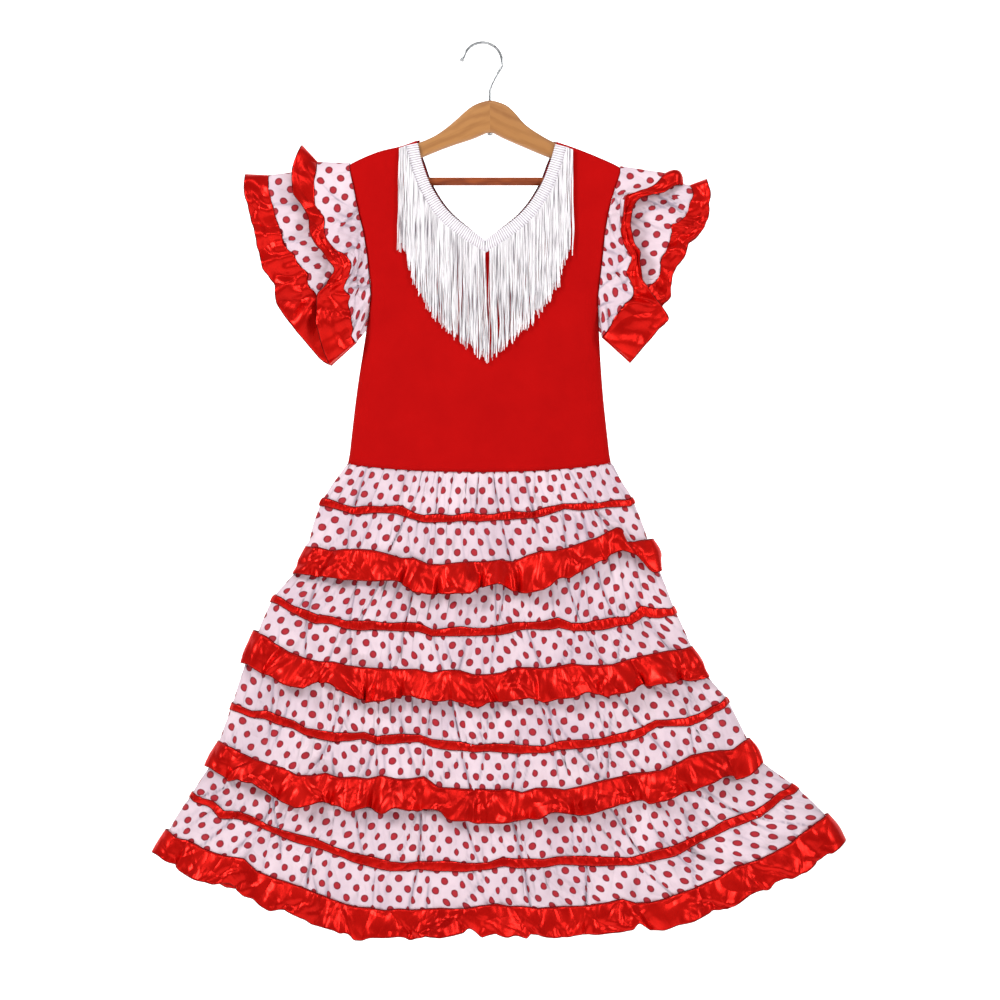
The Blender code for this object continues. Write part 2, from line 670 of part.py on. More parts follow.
def add_hanger():
    add_arm("left")
    add_arm("right")
    add_rod("hanger_bar", [(x, 0, BAR_Z) for x in BAR_ENDS], [1, 1], BAR_RADIUS, "dark_beech")
    add_hook()
    nut_top = ARMS["left"][1].bottom * MM - GAP
    nut = [(JOINT_X * MM, 0, nut_top), (JOINT_X * MM, 0, nut_top - NUT_HEIGHT)]
    add_rod("hanger_nut", nut, [1, 1], NUT_RADIUS, "steel")


def main():
    clear_scene()
    for number, tier in enumerate(TIERS, 1):
        add_tier(number, tier)
        add_ruffle(number, tier)
    for front in (True, False):
        add_bodice(front)
    for side in ("left", "right"):
        add_flounce(side, over=False)
        add_flounce(side, over=True)
        add_fringe(side)
    add_hanger()


main()
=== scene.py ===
# Looks for a child's flamenco dress on a wooden hanger.
# Metres, +Z up, the dress faces -Y. Tables are in millimetres from the inside top of the hook.

import math
from collections import namedtuple

import bmesh
import bpy
import numpy as np
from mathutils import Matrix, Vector
from mathutils.bvhtree import BVHTree


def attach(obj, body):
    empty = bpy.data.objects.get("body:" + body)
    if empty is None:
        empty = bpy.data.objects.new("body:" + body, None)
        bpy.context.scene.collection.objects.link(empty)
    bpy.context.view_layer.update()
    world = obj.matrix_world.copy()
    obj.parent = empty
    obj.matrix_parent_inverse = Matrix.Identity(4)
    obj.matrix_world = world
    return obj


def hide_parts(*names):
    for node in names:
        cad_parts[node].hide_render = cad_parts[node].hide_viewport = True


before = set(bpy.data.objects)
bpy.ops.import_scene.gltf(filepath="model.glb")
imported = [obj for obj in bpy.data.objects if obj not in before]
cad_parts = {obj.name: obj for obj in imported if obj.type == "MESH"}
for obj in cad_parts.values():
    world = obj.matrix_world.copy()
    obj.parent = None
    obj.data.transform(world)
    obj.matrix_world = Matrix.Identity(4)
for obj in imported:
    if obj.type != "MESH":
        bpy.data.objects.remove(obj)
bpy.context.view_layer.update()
print("frame loaded")

mm = 0.001
finished = {}  # every piece by its name


# Materials


def startMaterial(name, **shaderValues):
    material = bpy.data.materials.new(name)
    material.use_nodes = True
    nodes = material.node_tree.nodes
    shader = nodes["Principled BSDF"]
    for socket, value in shaderValues.items():
        shader.inputs[socket.replace("_", " ")].default_value = value
    return material, nodes, material.node_tree.links, shader


def addNode(nodes, kind, settings=None, **inputs):
    node = nodes.new(kind)
    for key, value in (settings or {}).items():
        setattr(node, key, value)
    for key, value in inputs.items():
        node.inputs[key.replace("_", " ")].default_value = value
    return node


def addMath(nodes, links, operation, *values, clamp=False):
    node = nodes.new("ShaderNodeMath")
    node.operation = operation
    node.use_clamp = clamp
    for socket, value in zip(node.inputs, values):
        if isinstance(value, (int, float)):
            socket.default_value = value
        else:
            links.new(value, socket)
    return node.outputs[0]


def addRamp(nodes, links, factor, stops, interpolation="LINEAR"):
    ramp = nodes.new("ShaderNodeValToRGB")
    ramp.color_ramp.interpolation = interpolation
    while len(ramp.color_ramp.elements) < len(stops):
        ramp.color_ramp.elements.new(0.5)
    for element, (place, colour) in zip(ramp.color_ramp.elements, stops):
        element.position = place
        element.color = (*colour, 1)
    links.new(factor, ramp.inputs[0])
    return ramp.outputs[0]


def addBump(nodes, links, shader, height, strength, distance, after=None):
    bump = addNode(nodes, "ShaderNodeBump", Strength=strength, Distance=distance)
    links.new(height, bump.inputs["Height"])
    if after:
        links.new(after, bump.inputs["Normal"])
    links.new(bump.outputs[0], shader.inputs["Normal"])
    return bump.outputs[0]


def clothPlace(nodes, links, scale):
    # The cloth's own place in metres, scaled
    uv = addNode(nodes, "ShaderNodeUVMap", {"uv_map": "cloth"})
    mapping = addNode(nodes, "ShaderNodeMapping")
    mapping.inputs["Scale"].default_value = scale
    links.new(uv.outputs[0], mapping.inputs["Vector"])
    return mapping.outputs[0]


def weave(nodes, links, threads):
    # Plain weave: two thread waves over and under each other
    place = clothPlace(nodes, links, (threads, threads, 1))
    warp = addNode(nodes, "ShaderNodeTexWave", {"bands_direction": "X"}, Scale=1.0, Distortion=0.4)
    weft = addNode(nodes, "ShaderNodeTexWave", {"bands_direction": "Y"}, Scale=1.0, Distortion=0.4)
    links.new(place, warp.inputs["Vector"])
    links.new(place, weft.inputs["Vector"])
    return addMath(nodes, links, "MULTIPLY", warp.outputs["Fac"], weft.outputs["Fac"])


def wrinkles(nodes, links, shader, layers):
    # Creases with sharp ridges, each layer with its own scale, turn and strength
    before = None
    for scale, turn, strength, distance, sharp in layers:
        uv = addNode(nodes, "ShaderNodeUVMap", {"uv_map": "cloth"})
        turned = addNode(nodes, "ShaderNodeMapping")
        turned.inputs["Rotation"].default_value = (0, 0, math.radians(turn))
        links.new(uv.outputs[0], turned.inputs["Vector"])
        mapping = addNode(nodes, "ShaderNodeMapping")
        mapping.inputs["Scale"].default_value = scale
        links.new(turned.outputs[0], mapping.inputs["Vector"])
        noise = addNode(nodes, "ShaderNodeTexNoise", Scale=1.0, Detail=1, Roughness=0.35, Distortion=0.25)
        links.new(mapping.outputs[0], noise.inputs["Vector"])
        off = addMath(nodes, links, "SUBTRACT", noise.outputs["Fac"], 0.5)
        ridge = addMath(nodes, links, "MULTIPLY", addMath(nodes, links, "ABSOLUTE", off), sharp, clamp=True)
        before = addBump(nodes, links, shader, ridge, strength, distance, before)
    return before


def makeJersey():
    look = {"dark": (0.41, 0.0016, 0.0018), "light": (0.455, 0.0022, 0.0022), "knitPerMetre": 260, "bump": 0.25}
    material, nodes, links, shader = startMaterial("redJersey", Roughness=0.9, Sheen_Weight=0.03)
    shader.inputs["Sheen Roughness"].default_value = 0.5
    shader.inputs["Sheen Tint"].default_value = (1, 0.25, 0.2, 1)
    shader.inputs["Specular IOR Level"].default_value = 0.06
    place = addNode(nodes, "ShaderNodeTexCoord").outputs["Object"]
    mottle = addNode(nodes, "ShaderNodeTexNoise", Scale=24, Detail=5, Roughness=0.6)
    links.new(place, mottle.inputs["Vector"])
    colour = addRamp(nodes, links, mottle.outputs["Fac"], [(0.3, look["dark"]), (0.7, look["light"])])
    links.new(colour, shader.inputs["Base Color"])
    knit = weave(nodes, links, look["knitPerMetre"])
    fuzz = addNode(nodes, "ShaderNodeTexNoise", Scale=900, Detail=3)
    links.new(place, fuzz.inputs["Vector"])
    height = addMath(nodes, links, "ADD", knit, fuzz.outputs["Fac"])
    addBump(nodes, links, shader, height, look["bump"], 0.0003)
    return material


def makeDottedCloth():
    look = {
        "ground": (0.79, 0.625, 0.685),
        "groundPaintedShade": (0.66, 0.515, 0.585),
        "dot": (0.42, 0.009, 0.019),
        "dotRim": (0.22, 0.004, 0.018),
        "paintedCreaseShade": (0.40, 0.32, 0.40),
        "cell": 0.0232,
        "radius": 0.0043,
    }
    material, nodes, links, shader = startMaterial("dottedCloth", Roughness=0.62, Sheen_Weight=0.15)
    shader.inputs["Specular IOR Level"].default_value = 0.3
    per = 1 / look["cell"]
    place = clothPlace(nodes, links, (per, per, 0))
    far = []
    for shift in (0, 0.5):
        moved = addNode(nodes, "ShaderNodeVectorMath", {"operation": "ADD"})
        links.new(place, moved.inputs[0])
        moved.inputs[1].default_value = (shift, shift, 0)
        inCell = addNode(nodes, "ShaderNodeVectorMath", {"operation": "FRACTION"})
        links.new(moved.outputs[0], inCell.inputs[0])
        centred = addNode(nodes, "ShaderNodeVectorMath", {"operation": "SUBTRACT"})
        links.new(inCell.outputs[0], centred.inputs[0])
        centred.inputs[1].default_value = (0.5, 0.5, 0)
        length = addNode(nodes, "ShaderNodeVectorMath", {"operation": "LENGTH"})
        links.new(centred.outputs[0], length.inputs[0])
        far.append(length.outputs["Value"])
    distance = addMath(nodes, links, "MINIMUM", far[0], far[1])
    wobble = addNode(nodes, "ShaderNodeTexNoise", Scale=420, Detail=2)
    objectPlace = addNode(nodes, "ShaderNodeTexCoord").outputs["Object"]
    links.new(objectPlace, wobble.inputs["Vector"])
    ragged = addMath(nodes, links, "MULTIPLY_ADD", wobble.outputs["Fac"], 0.022, -0.011)
    distance = addMath(nodes, links, "ADD", distance, ragged)
    radius = look["radius"] / look["cell"]
    soft = 0.012
    inDot = addNode(nodes, "ShaderNodeMapRange", {"clamp": True})
    links.new(distance, inDot.inputs["Value"])
    for socket, value in (("From Min", radius + soft), ("From Max", radius - soft)):
        inDot.inputs[socket].default_value = value
    dotColour = addRamp(
        nodes,
        links,
        addMath(nodes, links, "DIVIDE", distance, radius),
        [(0.0, look["dot"]), (0.55, look["dot"]), (0.82, look["dotRim"])],
    )
    # Painted shade: soft random patches darken the ground towards groundPaintedShade, standing in for the cloth's soft
    # fold shading
    paintedShadingPatches = addNode(nodes, "ShaderNodeTexNoise", Scale=18, Detail=4, Roughness=0.6)
    links.new(objectPlace, paintedShadingPatches.inputs["Vector"])
    ground = addRamp(nodes, links, paintedShadingPatches.outputs["Fac"], [(0.35, look["groundPaintedShade"]), (0.62, look["ground"])])
    # Painted shade: where the fold attribute is high, the ground darkens towards the painted crease shade colour
    fold = addNode(nodes, "ShaderNodeAttribute", {"attribute_name": "fold"})
    paintedCreaseShade = addNode(nodes, "ShaderNodeMix", {"data_type": "RGBA"})
    links.new(fold.outputs["Fac"], paintedCreaseShade.inputs["Factor"])
    links.new(ground, paintedCreaseShade.inputs[6])
    paintedCreaseShade.inputs[7].default_value = (*look["paintedCreaseShade"], 1)
    mix = addNode(nodes, "ShaderNodeMix", {"data_type": "RGBA"})
    links.new(inDot.outputs[0], mix.inputs["Factor"])
    links.new(paintedCreaseShade.outputs[2], mix.inputs[7 - 1])
    links.new(dotColour, mix.inputs[7])
    links.new(mix.outputs[2], shader.inputs["Base Color"])
    first = wrinkles(nodes, links, shader, [((9, 15, 1), 28, 0.6, 0.012, 4), ((34, 9, 1), 10, 0.6, 0.005, 4), ((30, 16, 1), -38, 0.45, 0.004, 4)])
    addBump(nodes, links, shader, weave(nodes, links, 420), 0.12, 0.0002, first)
    return material


def makeSatin(name, layers):
    look = {"deep": (0.47, 0.0020, 0.0017), "bright": (0.68, 0.0065, 0.0042), "edge": (0.16, 0.0012, 0.002)}
    material, nodes, links, shader = startMaterial(name, Roughness=0.27, Metallic=0.5)
    shader.inputs["Anisotropic"].default_value = 0.35
    shader.inputs["Specular IOR Level"].default_value = 0.35
    shader.inputs["Specular Tint"].default_value = (1, 0.42, 0.3, 1)
    objectPlace = addNode(nodes, "ShaderNodeTexCoord").outputs["Object"]
    # Painted sheen and painted shade: soft random patches run from deep to bright, standing in for the satin's bright
    # and dark folds
    paintedShadingPatches = addNode(nodes, "ShaderNodeTexNoise", Scale=26, Detail=3, Roughness=0.5, Distortion=0.3)
    links.new(objectPlace, paintedShadingPatches.inputs["Vector"])
    colour = addRamp(nodes, links, paintedShadingPatches.outputs["Fac"], [(0.3, look["deep"]), (0.68, look["bright"])])
    hem = addNode(nodes, "ShaderNodeAttribute", {"attribute_name": "hem"})
    atHem = addNode(nodes, "ShaderNodeMapRange", {"clamp": True})
    links.new(hem.outputs["Fac"], atHem.inputs["Value"])
    atHem.inputs["From Min"].default_value = 0.0014
    atHem.inputs["From Max"].default_value = 0.0006
    darker = addNode(nodes, "ShaderNodeMix", {"data_type": "RGBA"})
    links.new(atHem.outputs[0], darker.inputs["Factor"])
    links.new(colour, darker.inputs[6])
    darker.inputs[7].default_value = (*look["edge"], 1)
    links.new(darker.outputs[2], shader.inputs["Base Color"])
    first = wrinkles(nodes, links, shader, layers)
    threads = addNode(nodes, "ShaderNodeTexWave", {"bands_direction": "Y"}, Scale=500, Distortion=0.3)
    links.new(clothPlace(nodes, links, (1, 1, 1)), threads.inputs["Vector"])
    addBump(nodes, links, shader, threads.outputs["Fac"], 0.06, 0.0002, first)
    return material


def makeBraidCord(pitch):
    # Ribs run across the tape, so the cloth's own x carries their beat
    look = {"top": (0.86, 0.84, 0.88), "paintedGrooveShade": (0.36, 0.27, 0.32), "edge": (0.60, 0.53, 0.58)}
    material, nodes, links, shader = startMaterial("braidCord", Roughness=0.6)
    place = addNode(nodes, "ShaderNodeSeparateXYZ")
    links.new(clothPlace(nodes, links, (1, 1, 1)), place.inputs[0])
    turn = addMath(nodes, links, "MULTIPLY_ADD", place.outputs[1], 90.0, 0.0)
    beat = addMath(nodes, links, "MULTIPLY_ADD", place.outputs[0], 2 * math.pi / pitch, turn)
    wave = addMath(nodes, links, "SINE", beat)
    rib = addMath(nodes, links, "MULTIPLY_ADD", wave, 0.5, 0.5)
    # Painted shade: the grooves between the ribs, and the ribs' flanks, are darker than the white tops
    colour = addRamp(nodes, links, rib, [(0.02, look["paintedGrooveShade"]), (0.16, look["edge"]), (0.36, look["top"])])
    links.new(colour, shader.inputs["Base Color"])
    fibre = addNode(nodes, "ShaderNodeTexNoise", Scale=1500, Detail=3)
    links.new(clothPlace(nodes, links, (1, 3, 1)), fibre.inputs["Vector"])
    both = addMath(nodes, links, "MULTIPLY_ADD", fibre.outputs["Fac"], 0.25, rib)
    addBump(nodes, links, shader, both, 0.5, 0.0008)
    return material


def makeThread(name, colour, shade):
    material, nodes, links, shader = startMaterial(name, Roughness=0.5, Sheen_Weight=0.1)
    objectPlace = addNode(nodes, "ShaderNodeTexCoord").outputs["Object"]
    mapping = addNode(nodes, "ShaderNodeMapping")
    mapping.inputs["Scale"].default_value = (900, 300, 26)
    links.new(objectPlace, mapping.inputs["Vector"])
    strand = addNode(nodes, "ShaderNodeTexNoise", Scale=1.0, Detail=3)
    links.new(mapping.outputs[0], strand.inputs["Vector"])
    # Strands run at random between shade and colour: for the white fringe and the neck edge the dark shade is painted
    # shade; for the red stitches it is a darker tone of the thread
    links.new(
        addRamp(nodes, links, strand.outputs["Fac"], [(0.36, shade), (0.49, colour)]),
        shader.inputs["Base Color"],
    )
    addBump(nodes, links, shader, strand.outputs["Fac"], 0.3, 0.0004)
    return material


def makeWood(name, light, dark, tilt, roughness, coat=0.35, gloss=0.5):
    material, nodes, links, shader = startMaterial(name, Roughness=roughness, Coat_Weight=coat)
    shader.inputs["Coat Roughness"].default_value = 0.25
    shader.inputs["Specular IOR Level"].default_value = gloss
    objectPlace = addNode(nodes, "ShaderNodeTexCoord").outputs["Object"]
    turned = addNode(nodes, "ShaderNodeMapping")
    turned.inputs["Rotation"].default_value = (0, math.radians(tilt), 0)
    links.new(objectPlace, turned.inputs["Vector"])
    mapping = addNode(nodes, "ShaderNodeMapping")
    mapping.inputs["Scale"].default_value = (9, 120, 150)
    links.new(turned.outputs[0], mapping.inputs["Vector"])
    grain = addNode(nodes, "ShaderNodeTexNoise", Scale=1.0, Detail=6, Roughness=0.62, Distortion=0.5)
    links.new(mapping.outputs[0], grain.inputs["Vector"])
    wide = addNode(nodes, "ShaderNodeTexWave", {"bands_direction": "Z"}, Scale=26, Distortion=5, Detail=3)
    links.new(turned.outputs[0], wide.inputs["Vector"])
    both = addMath(nodes, links, "MULTIPLY_ADD", wide.outputs["Fac"], 0.35, grain.outputs["Fac"])
    links.new(
        addRamp(nodes, links, both, [(0.35, dark), (0.75, light)]),
        shader.inputs["Base Color"],
    )
    addBump(nodes, links, shader, grain.outputs["Fac"], 0.15, 0.0006)
    return material


def makeSteel():
    material, nodes, links, shader = startMaterial("steelWire", Metallic=1.0, Roughness=0.28)
    objectPlace = addNode(nodes, "ShaderNodeTexCoord").outputs["Object"]
    rub = addNode(nodes, "ShaderNodeTexNoise", Scale=260, Detail=4)
    links.new(objectPlace, rub.inputs["Vector"])
    colour = addRamp(nodes, links, rub.outputs["Fac"], [(0.35, (0.30, 0.31, 0.32)), (0.65, (0.52, 0.53, 0.54))])
    links.new(colour, shader.inputs["Base Color"])
    links.new(addMath(nodes, links, "MULTIPLY_ADD", rub.outputs["Fac"], 0.3, 0.15), shader.inputs["Roughness"])
    return material


redJersey = makeJersey()
dottedCloth = makeDottedCloth()
redSatin = makeSatin("redSatin", [((36, 8, 1), 13, 0.45, 0.008, 4), ((23, 12, 1), -31, 0.35, 0.009, 4), ((30, 20, 1), 24, 0.35, 0.0016, 14)])
sleeveSatin = makeSatin("sleeveSatin", [((20, 11, 1), 34, 0.55, 0.013, 4), ((13, 17, 1), -38, 0.4, 0.011, 4), ((24, 17, 1), 15, 0.35, 0.0018, 14)])
# whiteThread: its dark grey shade is painted shade for the gaps between the fringe's threads
whiteThread = makeThread("whiteThread", (0.98, 0.95, 0.97), (0.30, 0.27, 0.30))
braidCord = makeBraidCord(2.7 * mm)
redThread = makeThread("redThread", (0.50, 0.012, 0.014), (0.30, 0.006, 0.008))
# neckThread: near-black red, painted shade along the back neck edge
neckThread = makeThread("neckThread", (0.085, 0.006, 0.016), (0.03, 0.003, 0.010))
beechLeft = makeWood("beechLeft", (0.43, 0.188, 0.050), (0.33, 0.13, 0.031), 24, 0.42)
beechRight = makeWood("beechRight", (0.41, 0.176, 0.046), (0.31, 0.12, 0.028), -24, 0.42)
darkBeech = makeWood("darkBeech", (0.30, 0.062, 0.012), (0.16, 0.025, 0.005), 0, 0.45, coat=0.1, gloss=0.2)
steelWire = makeSteel()
print("materials made")


# Shapes in common


def smooth(knots, values, at):
    # A smooth curve through values at knots, read at the places in at
    knots = np.asarray(knots, float)
    values = np.asarray(values, float)
    at = np.asarray(at, float)
    slopes = np.gradient(values, knots)
    i = np.clip(np.searchsorted(knots, at, side="right") - 1, 0, len(knots) - 2)
    step = knots[i + 1] - knots[i]
    f = (at - knots[i]) / step
    return (
        values[i] * (1 + 2 * f) * (1 - f) ** 2
        + values[i + 1] * f * f * (3 - 2 * f)
        + slopes[i] * step * f * (1 - f) ** 2
        - slopes[i + 1] * step * f * f * (1 - f)
    )


def easeIn(values, start, end):
    t = np.clip((values - start) / (end - start), 0, 1)
    return t * t * (3 - 2 * t)


def makeSheet(name, points, uv, closed, thickness, material, fold=None):
    # A cloth shell from a grid of points; closed when its rows run round a tube
    rows, columns = points.shape[:2]
    across = columns if closed else columns - 1
    r, c = np.meshgrid(np.arange(rows - 1), np.arange(across), indexing="ij")
    right = (c + 1) % columns
    faces = np.stack([r * columns + c, r * columns + right, (r + 1) * columns + right, (r + 1) * columns + c], axis=-1)
    faces = faces.reshape(-1, 4)
    mesh = bpy.data.meshes.new(name)
    mesh.from_pydata(points.reshape(-1, 3).tolist(), [], faces.tolist())
    layer = mesh.uv_layers.new(name="cloth")
    uvGrid = uv.reshape(rows, uv.shape[1], 2)
    corners = np.stack([np.stack([r, c], -1), np.stack([r, c + 1], -1), np.stack([r + 1, c + 1], -1), np.stack([r + 1, c], -1)], axis=2)
    corners = corners.reshape(-1, 2)
    if uv.shape[1] == columns:
        corners[:, 1] %= columns
    layer.data.foreach_set("uv", uvGrid[corners[:, 0], corners[:, 1]].ravel())
    mesh.shade_smooth()
    mesh.materials.append(material)
    # How far each place is from the piece's edges, in metres
    steps = np.linalg.norm(np.diff(points, axis=0), axis=2)
    fromTop = np.concatenate([np.zeros((1, columns)), np.cumsum(steps, axis=0)])
    hem = np.minimum(fromTop, fromTop[-1] - fromTop)
    mesh.attributes.new("hem", "FLOAT", "POINT").data.foreach_set("value", hem.ravel())
    # fold, when given, is painted crease shade that the dotted cloth reads
    if fold is not None:
        mesh.attributes.new("fold", "FLOAT", "POINT").data.foreach_set("value", np.clip(fold, 0, 1).ravel())
    sheet = bpy.data.objects.new(name, mesh)
    bpy.context.scene.collection.objects.link(sheet)
    if thickness:
        wall = sheet.modifiers.new("cloth", "SOLIDIFY")
        wall.thickness = thickness
        wall.offset = 0
        wall.use_even_offset = False
    finished[name] = sheet
    return sheet


def applied(piece):
    # The piece as a plain mesh, with its modifiers read into it
    source = piece.evaluated_get(bpy.context.evaluated_depsgraph_get())
    mesh = bpy.data.meshes.new_from_object(source)
    mesh.name = piece.name
    made = bpy.data.objects.new(piece.name + "Made", mesh)
    name = piece.name
    bpy.data.objects.remove(piece)
    made.name = name
    bpy.context.scene.collection.objects.link(made)
    finished[name] = made
    return made


def surfaceTree(points):
    # What a ray meets on a grid of points
    rows, columns = points.shape[:2]
    faces = [
        (r * columns + c, r * columns + c + 1, (r + 1) * columns + c + 1, (r + 1) * columns + c)
        for r in range(rows - 1)
        for c in range(columns - 1)
    ]
    return BVHTree.FromPolygons(points.reshape(-1, 3).tolist(), faces)


# Creases: place along the piece, lean, start and end across it, depth, width and the cloth that the fold hides
Crease = namedtuple("Crease", "at lean start end depth width hidden")


def addCreases(seed, count, depth, width, hidden, lean=0.02, short=0.35):
    # Small uneven creases besides those listed one by one
    rng = np.random.default_rng(seed)
    made = []
    for number in range(count):
        at = (number + rng.uniform(-0.45, 0.45)) / count
        start = rng.uniform(-0.2, 0.75)
        made.append(
            Crease(
                at % 1,
                rng.normal(0, lean),
                start,
                start + rng.uniform(short, 1.1),
                depth * rng.uniform(0.35, 1.2),
                width * rng.uniform(0.7, 1.5),
                hidden * rng.uniform(0, 1.3),
            )
        )
    return made


def creaseField(along, across, creases, size, closed=True):
    # How far the creases move a place in or out, and how much cloth they hide before it
    out = np.zeros_like(along)
    hidden = np.zeros_like(along)
    for crease in creases:
        off = along - crease.at - crease.lean * (across - 0.5)
        turned = (off + 0.5) % 1 - 0.5 if closed else off
        t = turned * size / crease.width
        window = easeIn(across, crease.start - 0.12, crease.start + 0.12) * (
            1 - easeIn(across, crease.end - 0.15, crease.end + 0.15)
        )
        out += window * crease.depth * (0.6 * np.exp(-(((t - 1.7) / 1.4) ** 2)) - np.exp(-t * t))
        if crease.hidden:
            step = 1 / (1 + np.exp(-np.clip(2.6 * off * size / crease.width, -30, 30)))
            slow = easeIn(across, crease.start - 0.35, crease.start + 0.35)
            slow *= 1 - easeIn(across, crease.end - 0.35, crease.end + 0.35)
            hidden += slow * crease.hidden * (step - along)
    return out, hidden


def placeColumns(creases, size, count, closed=True):
    # Column places round a piece, closer together at the creases
    fine = np.linspace(0, 1, 6001)
    density = np.ones_like(fine)
    for crease in creases:
        off = fine - crease.at
        if closed:
            off = (off + 0.5) % 1 - 0.5
        reach = 2.5 * crease.width + abs(crease.lean) * size * 0.5
        density += 1.4 * np.exp(-((off * size / reach) ** 2))
    run = np.concatenate([[0], np.cumsum((density[1:] + density[:-1]) / 2)])
    places = np.interp(np.linspace(0, run[-1], count + 1), run, fine)
    return places[:-1] if closed else places


# Skirt

Level = namedtuple("Level", "left right zLeft zMiddle zRight halfDepth droopLeft droopRight lift liftAt")
skirtLevels = {
    "waist": Level(-151, 144, -473, -482, -472, 15.5, 2.4, 2.4, 0, 0.6),
    "ribbon1": Level(-178, 167, -516.5, -537, -515.5, 19, 3.4, 2.4, 6, 0.6),
    "ruffle1": Level(-196, 189, -567, -588, -560, 23, 2.8, 2.6, 16, 0.74),
    "seam1": Level(-205, 195, -594, -617, -589, 25, 2.4, 2.4, 5, 0.74),
    "ribbon2": Level(-233, 213, -626, -664.5, -639.5, 28, 2.2, 2.4, 0, 0.6),
    "ruffle2": Level(-255, 233, -662, -712, -680, 31, 3.2, 2.2, 0, 0.6),
    "seam2": Level(-265, 248, -693, -741, -711, 33, 2.8, 2.4, 0, 0.6),
    "ribbon3": Level(-280, 273, -748, -795.5, -741.5, 36, 2.6, 2.6, 0, 0.6),
    "ruffle3": Level(-295, 298, -787, -844, -784, 39, 2.4, 2.4, 0, 0.6),
    "seam3": Level(-306, 310, -816, -879, -811, 41, 2.4, 2.4, 0, 0.6),
    "ribbon4": Level(-325, 350, -848.5, -926.5, -838.5, 44, 2.3, 2.7, 0, 0.6),
    "ruffle4": Level(-355.5, 388, -887, -973, -869, 47, 2.3, 3, 0, 0.6),
    "hem": Level(-367, 406, -913, -1008, -897, 49, 2.6, 2.7, 0, 0.6),
}
skirtLook = {
    "columns": (560, 610, 660, 660),
    "liftWidth": 0.16,
    "gatherSwing": 2.4 * mm,
    "ruffleStandsOff": 2.9 * mm,
    "ruffleFlare": 12 * mm,
    "ruffleSwing": 8 * mm,
    "lastFlare": 8 * mm,
    "dotCell": 23.2 * mm,
}
Tier = namedtuple("Tier", "top ribbon ruffle bottom gathers waves drop")
skirtTiers = [
    Tier("waist", "ribbon1", "ruffle1", "seam1", 12, 18, 4),
    Tier("seam1", "ribbon2", "ruffle2", "seam2", 14, 20, 4),
    Tier("seam2", "ribbon3", "ruffle3", "seam3", 16, 22, -1),
    Tier("seam3", "ribbon4", None, "ruffle4", 18, 24, 0),
]


def levelAt(names, places, at):
    # A level's values at places down between named levels, as arrays
    levels = [skirtLevels[name] for name in names]
    return Level(*(np.interp(at, places, [getattr(level, field) for level in levels]) for field in Level._fields))


def perimeter(level):
    half = (level.right - level.left) / 2 * mm
    depth = level.halfDepth * mm
    turn = np.linspace(0, 2 * math.pi, 721)
    outline = np.stack([-half * np.cos(turn), -depth * np.sin(turn)], axis=1)
    return float(np.linalg.norm(np.diff(outline, axis=0), axis=1).sum())


def onRing(level, share, lengthLevel):
    # Points at shares of the way round, with the ways out of the skirt; share 0 is the left end, then the front
    half = (lengthLevel.right - lengthLevel.left) / 2
    turn = np.linspace(0, 2 * math.pi, 1441)
    outline = np.stack([-half * np.cos(turn), -lengthLevel.halfDepth * np.sin(turn)], axis=1)
    run = np.concatenate([[0], np.cumsum(np.linalg.norm(np.diff(outline, axis=0), axis=1))])
    angle = np.interp(np.mod(share, 1), run / run[-1], turn)
    side = -np.cos(angle)
    half = (level.right - level.left) / 2 * mm
    depth = level.halfDepth * mm
    endZ = np.where(side < 0, level.zLeft, level.zRight)
    droop = np.where(side < 0, level.droopLeft, level.droopRight)
    lift = level.lift * np.exp(-(((side - level.liftAt) / skirtLook["liftWidth"]) ** 2))
    z = (level.zMiddle + (endZ - level.zMiddle) * np.abs(side) ** droop + lift) * mm
    points = np.stack([(level.left + level.right) / 2 * mm + half * side, -depth * np.sin(angle), z], axis=-1)
    out = np.stack([side / half, -np.sin(angle) / depth, np.zeros_like(side)], axis=-1)
    return points, out / np.linalg.norm(out, axis=-1)[..., None], side


def gatherWave(count, seed, share):
    uneven = 0.13 * np.sin(6 * math.pi * share) * math.cos(seed) + 0.09 * np.sin(14 * math.pi * share)
    uneven += 0.1 * (1 - np.cos(8 * math.pi * share)) * math.sin(2 * seed + 1)
    phase = 2 * math.pi * (count * share + uneven)
    strength = 0.8 + 0.2 * np.sin(2 * math.pi * (3 * share + 0.3 * seed))
    return strength, phase


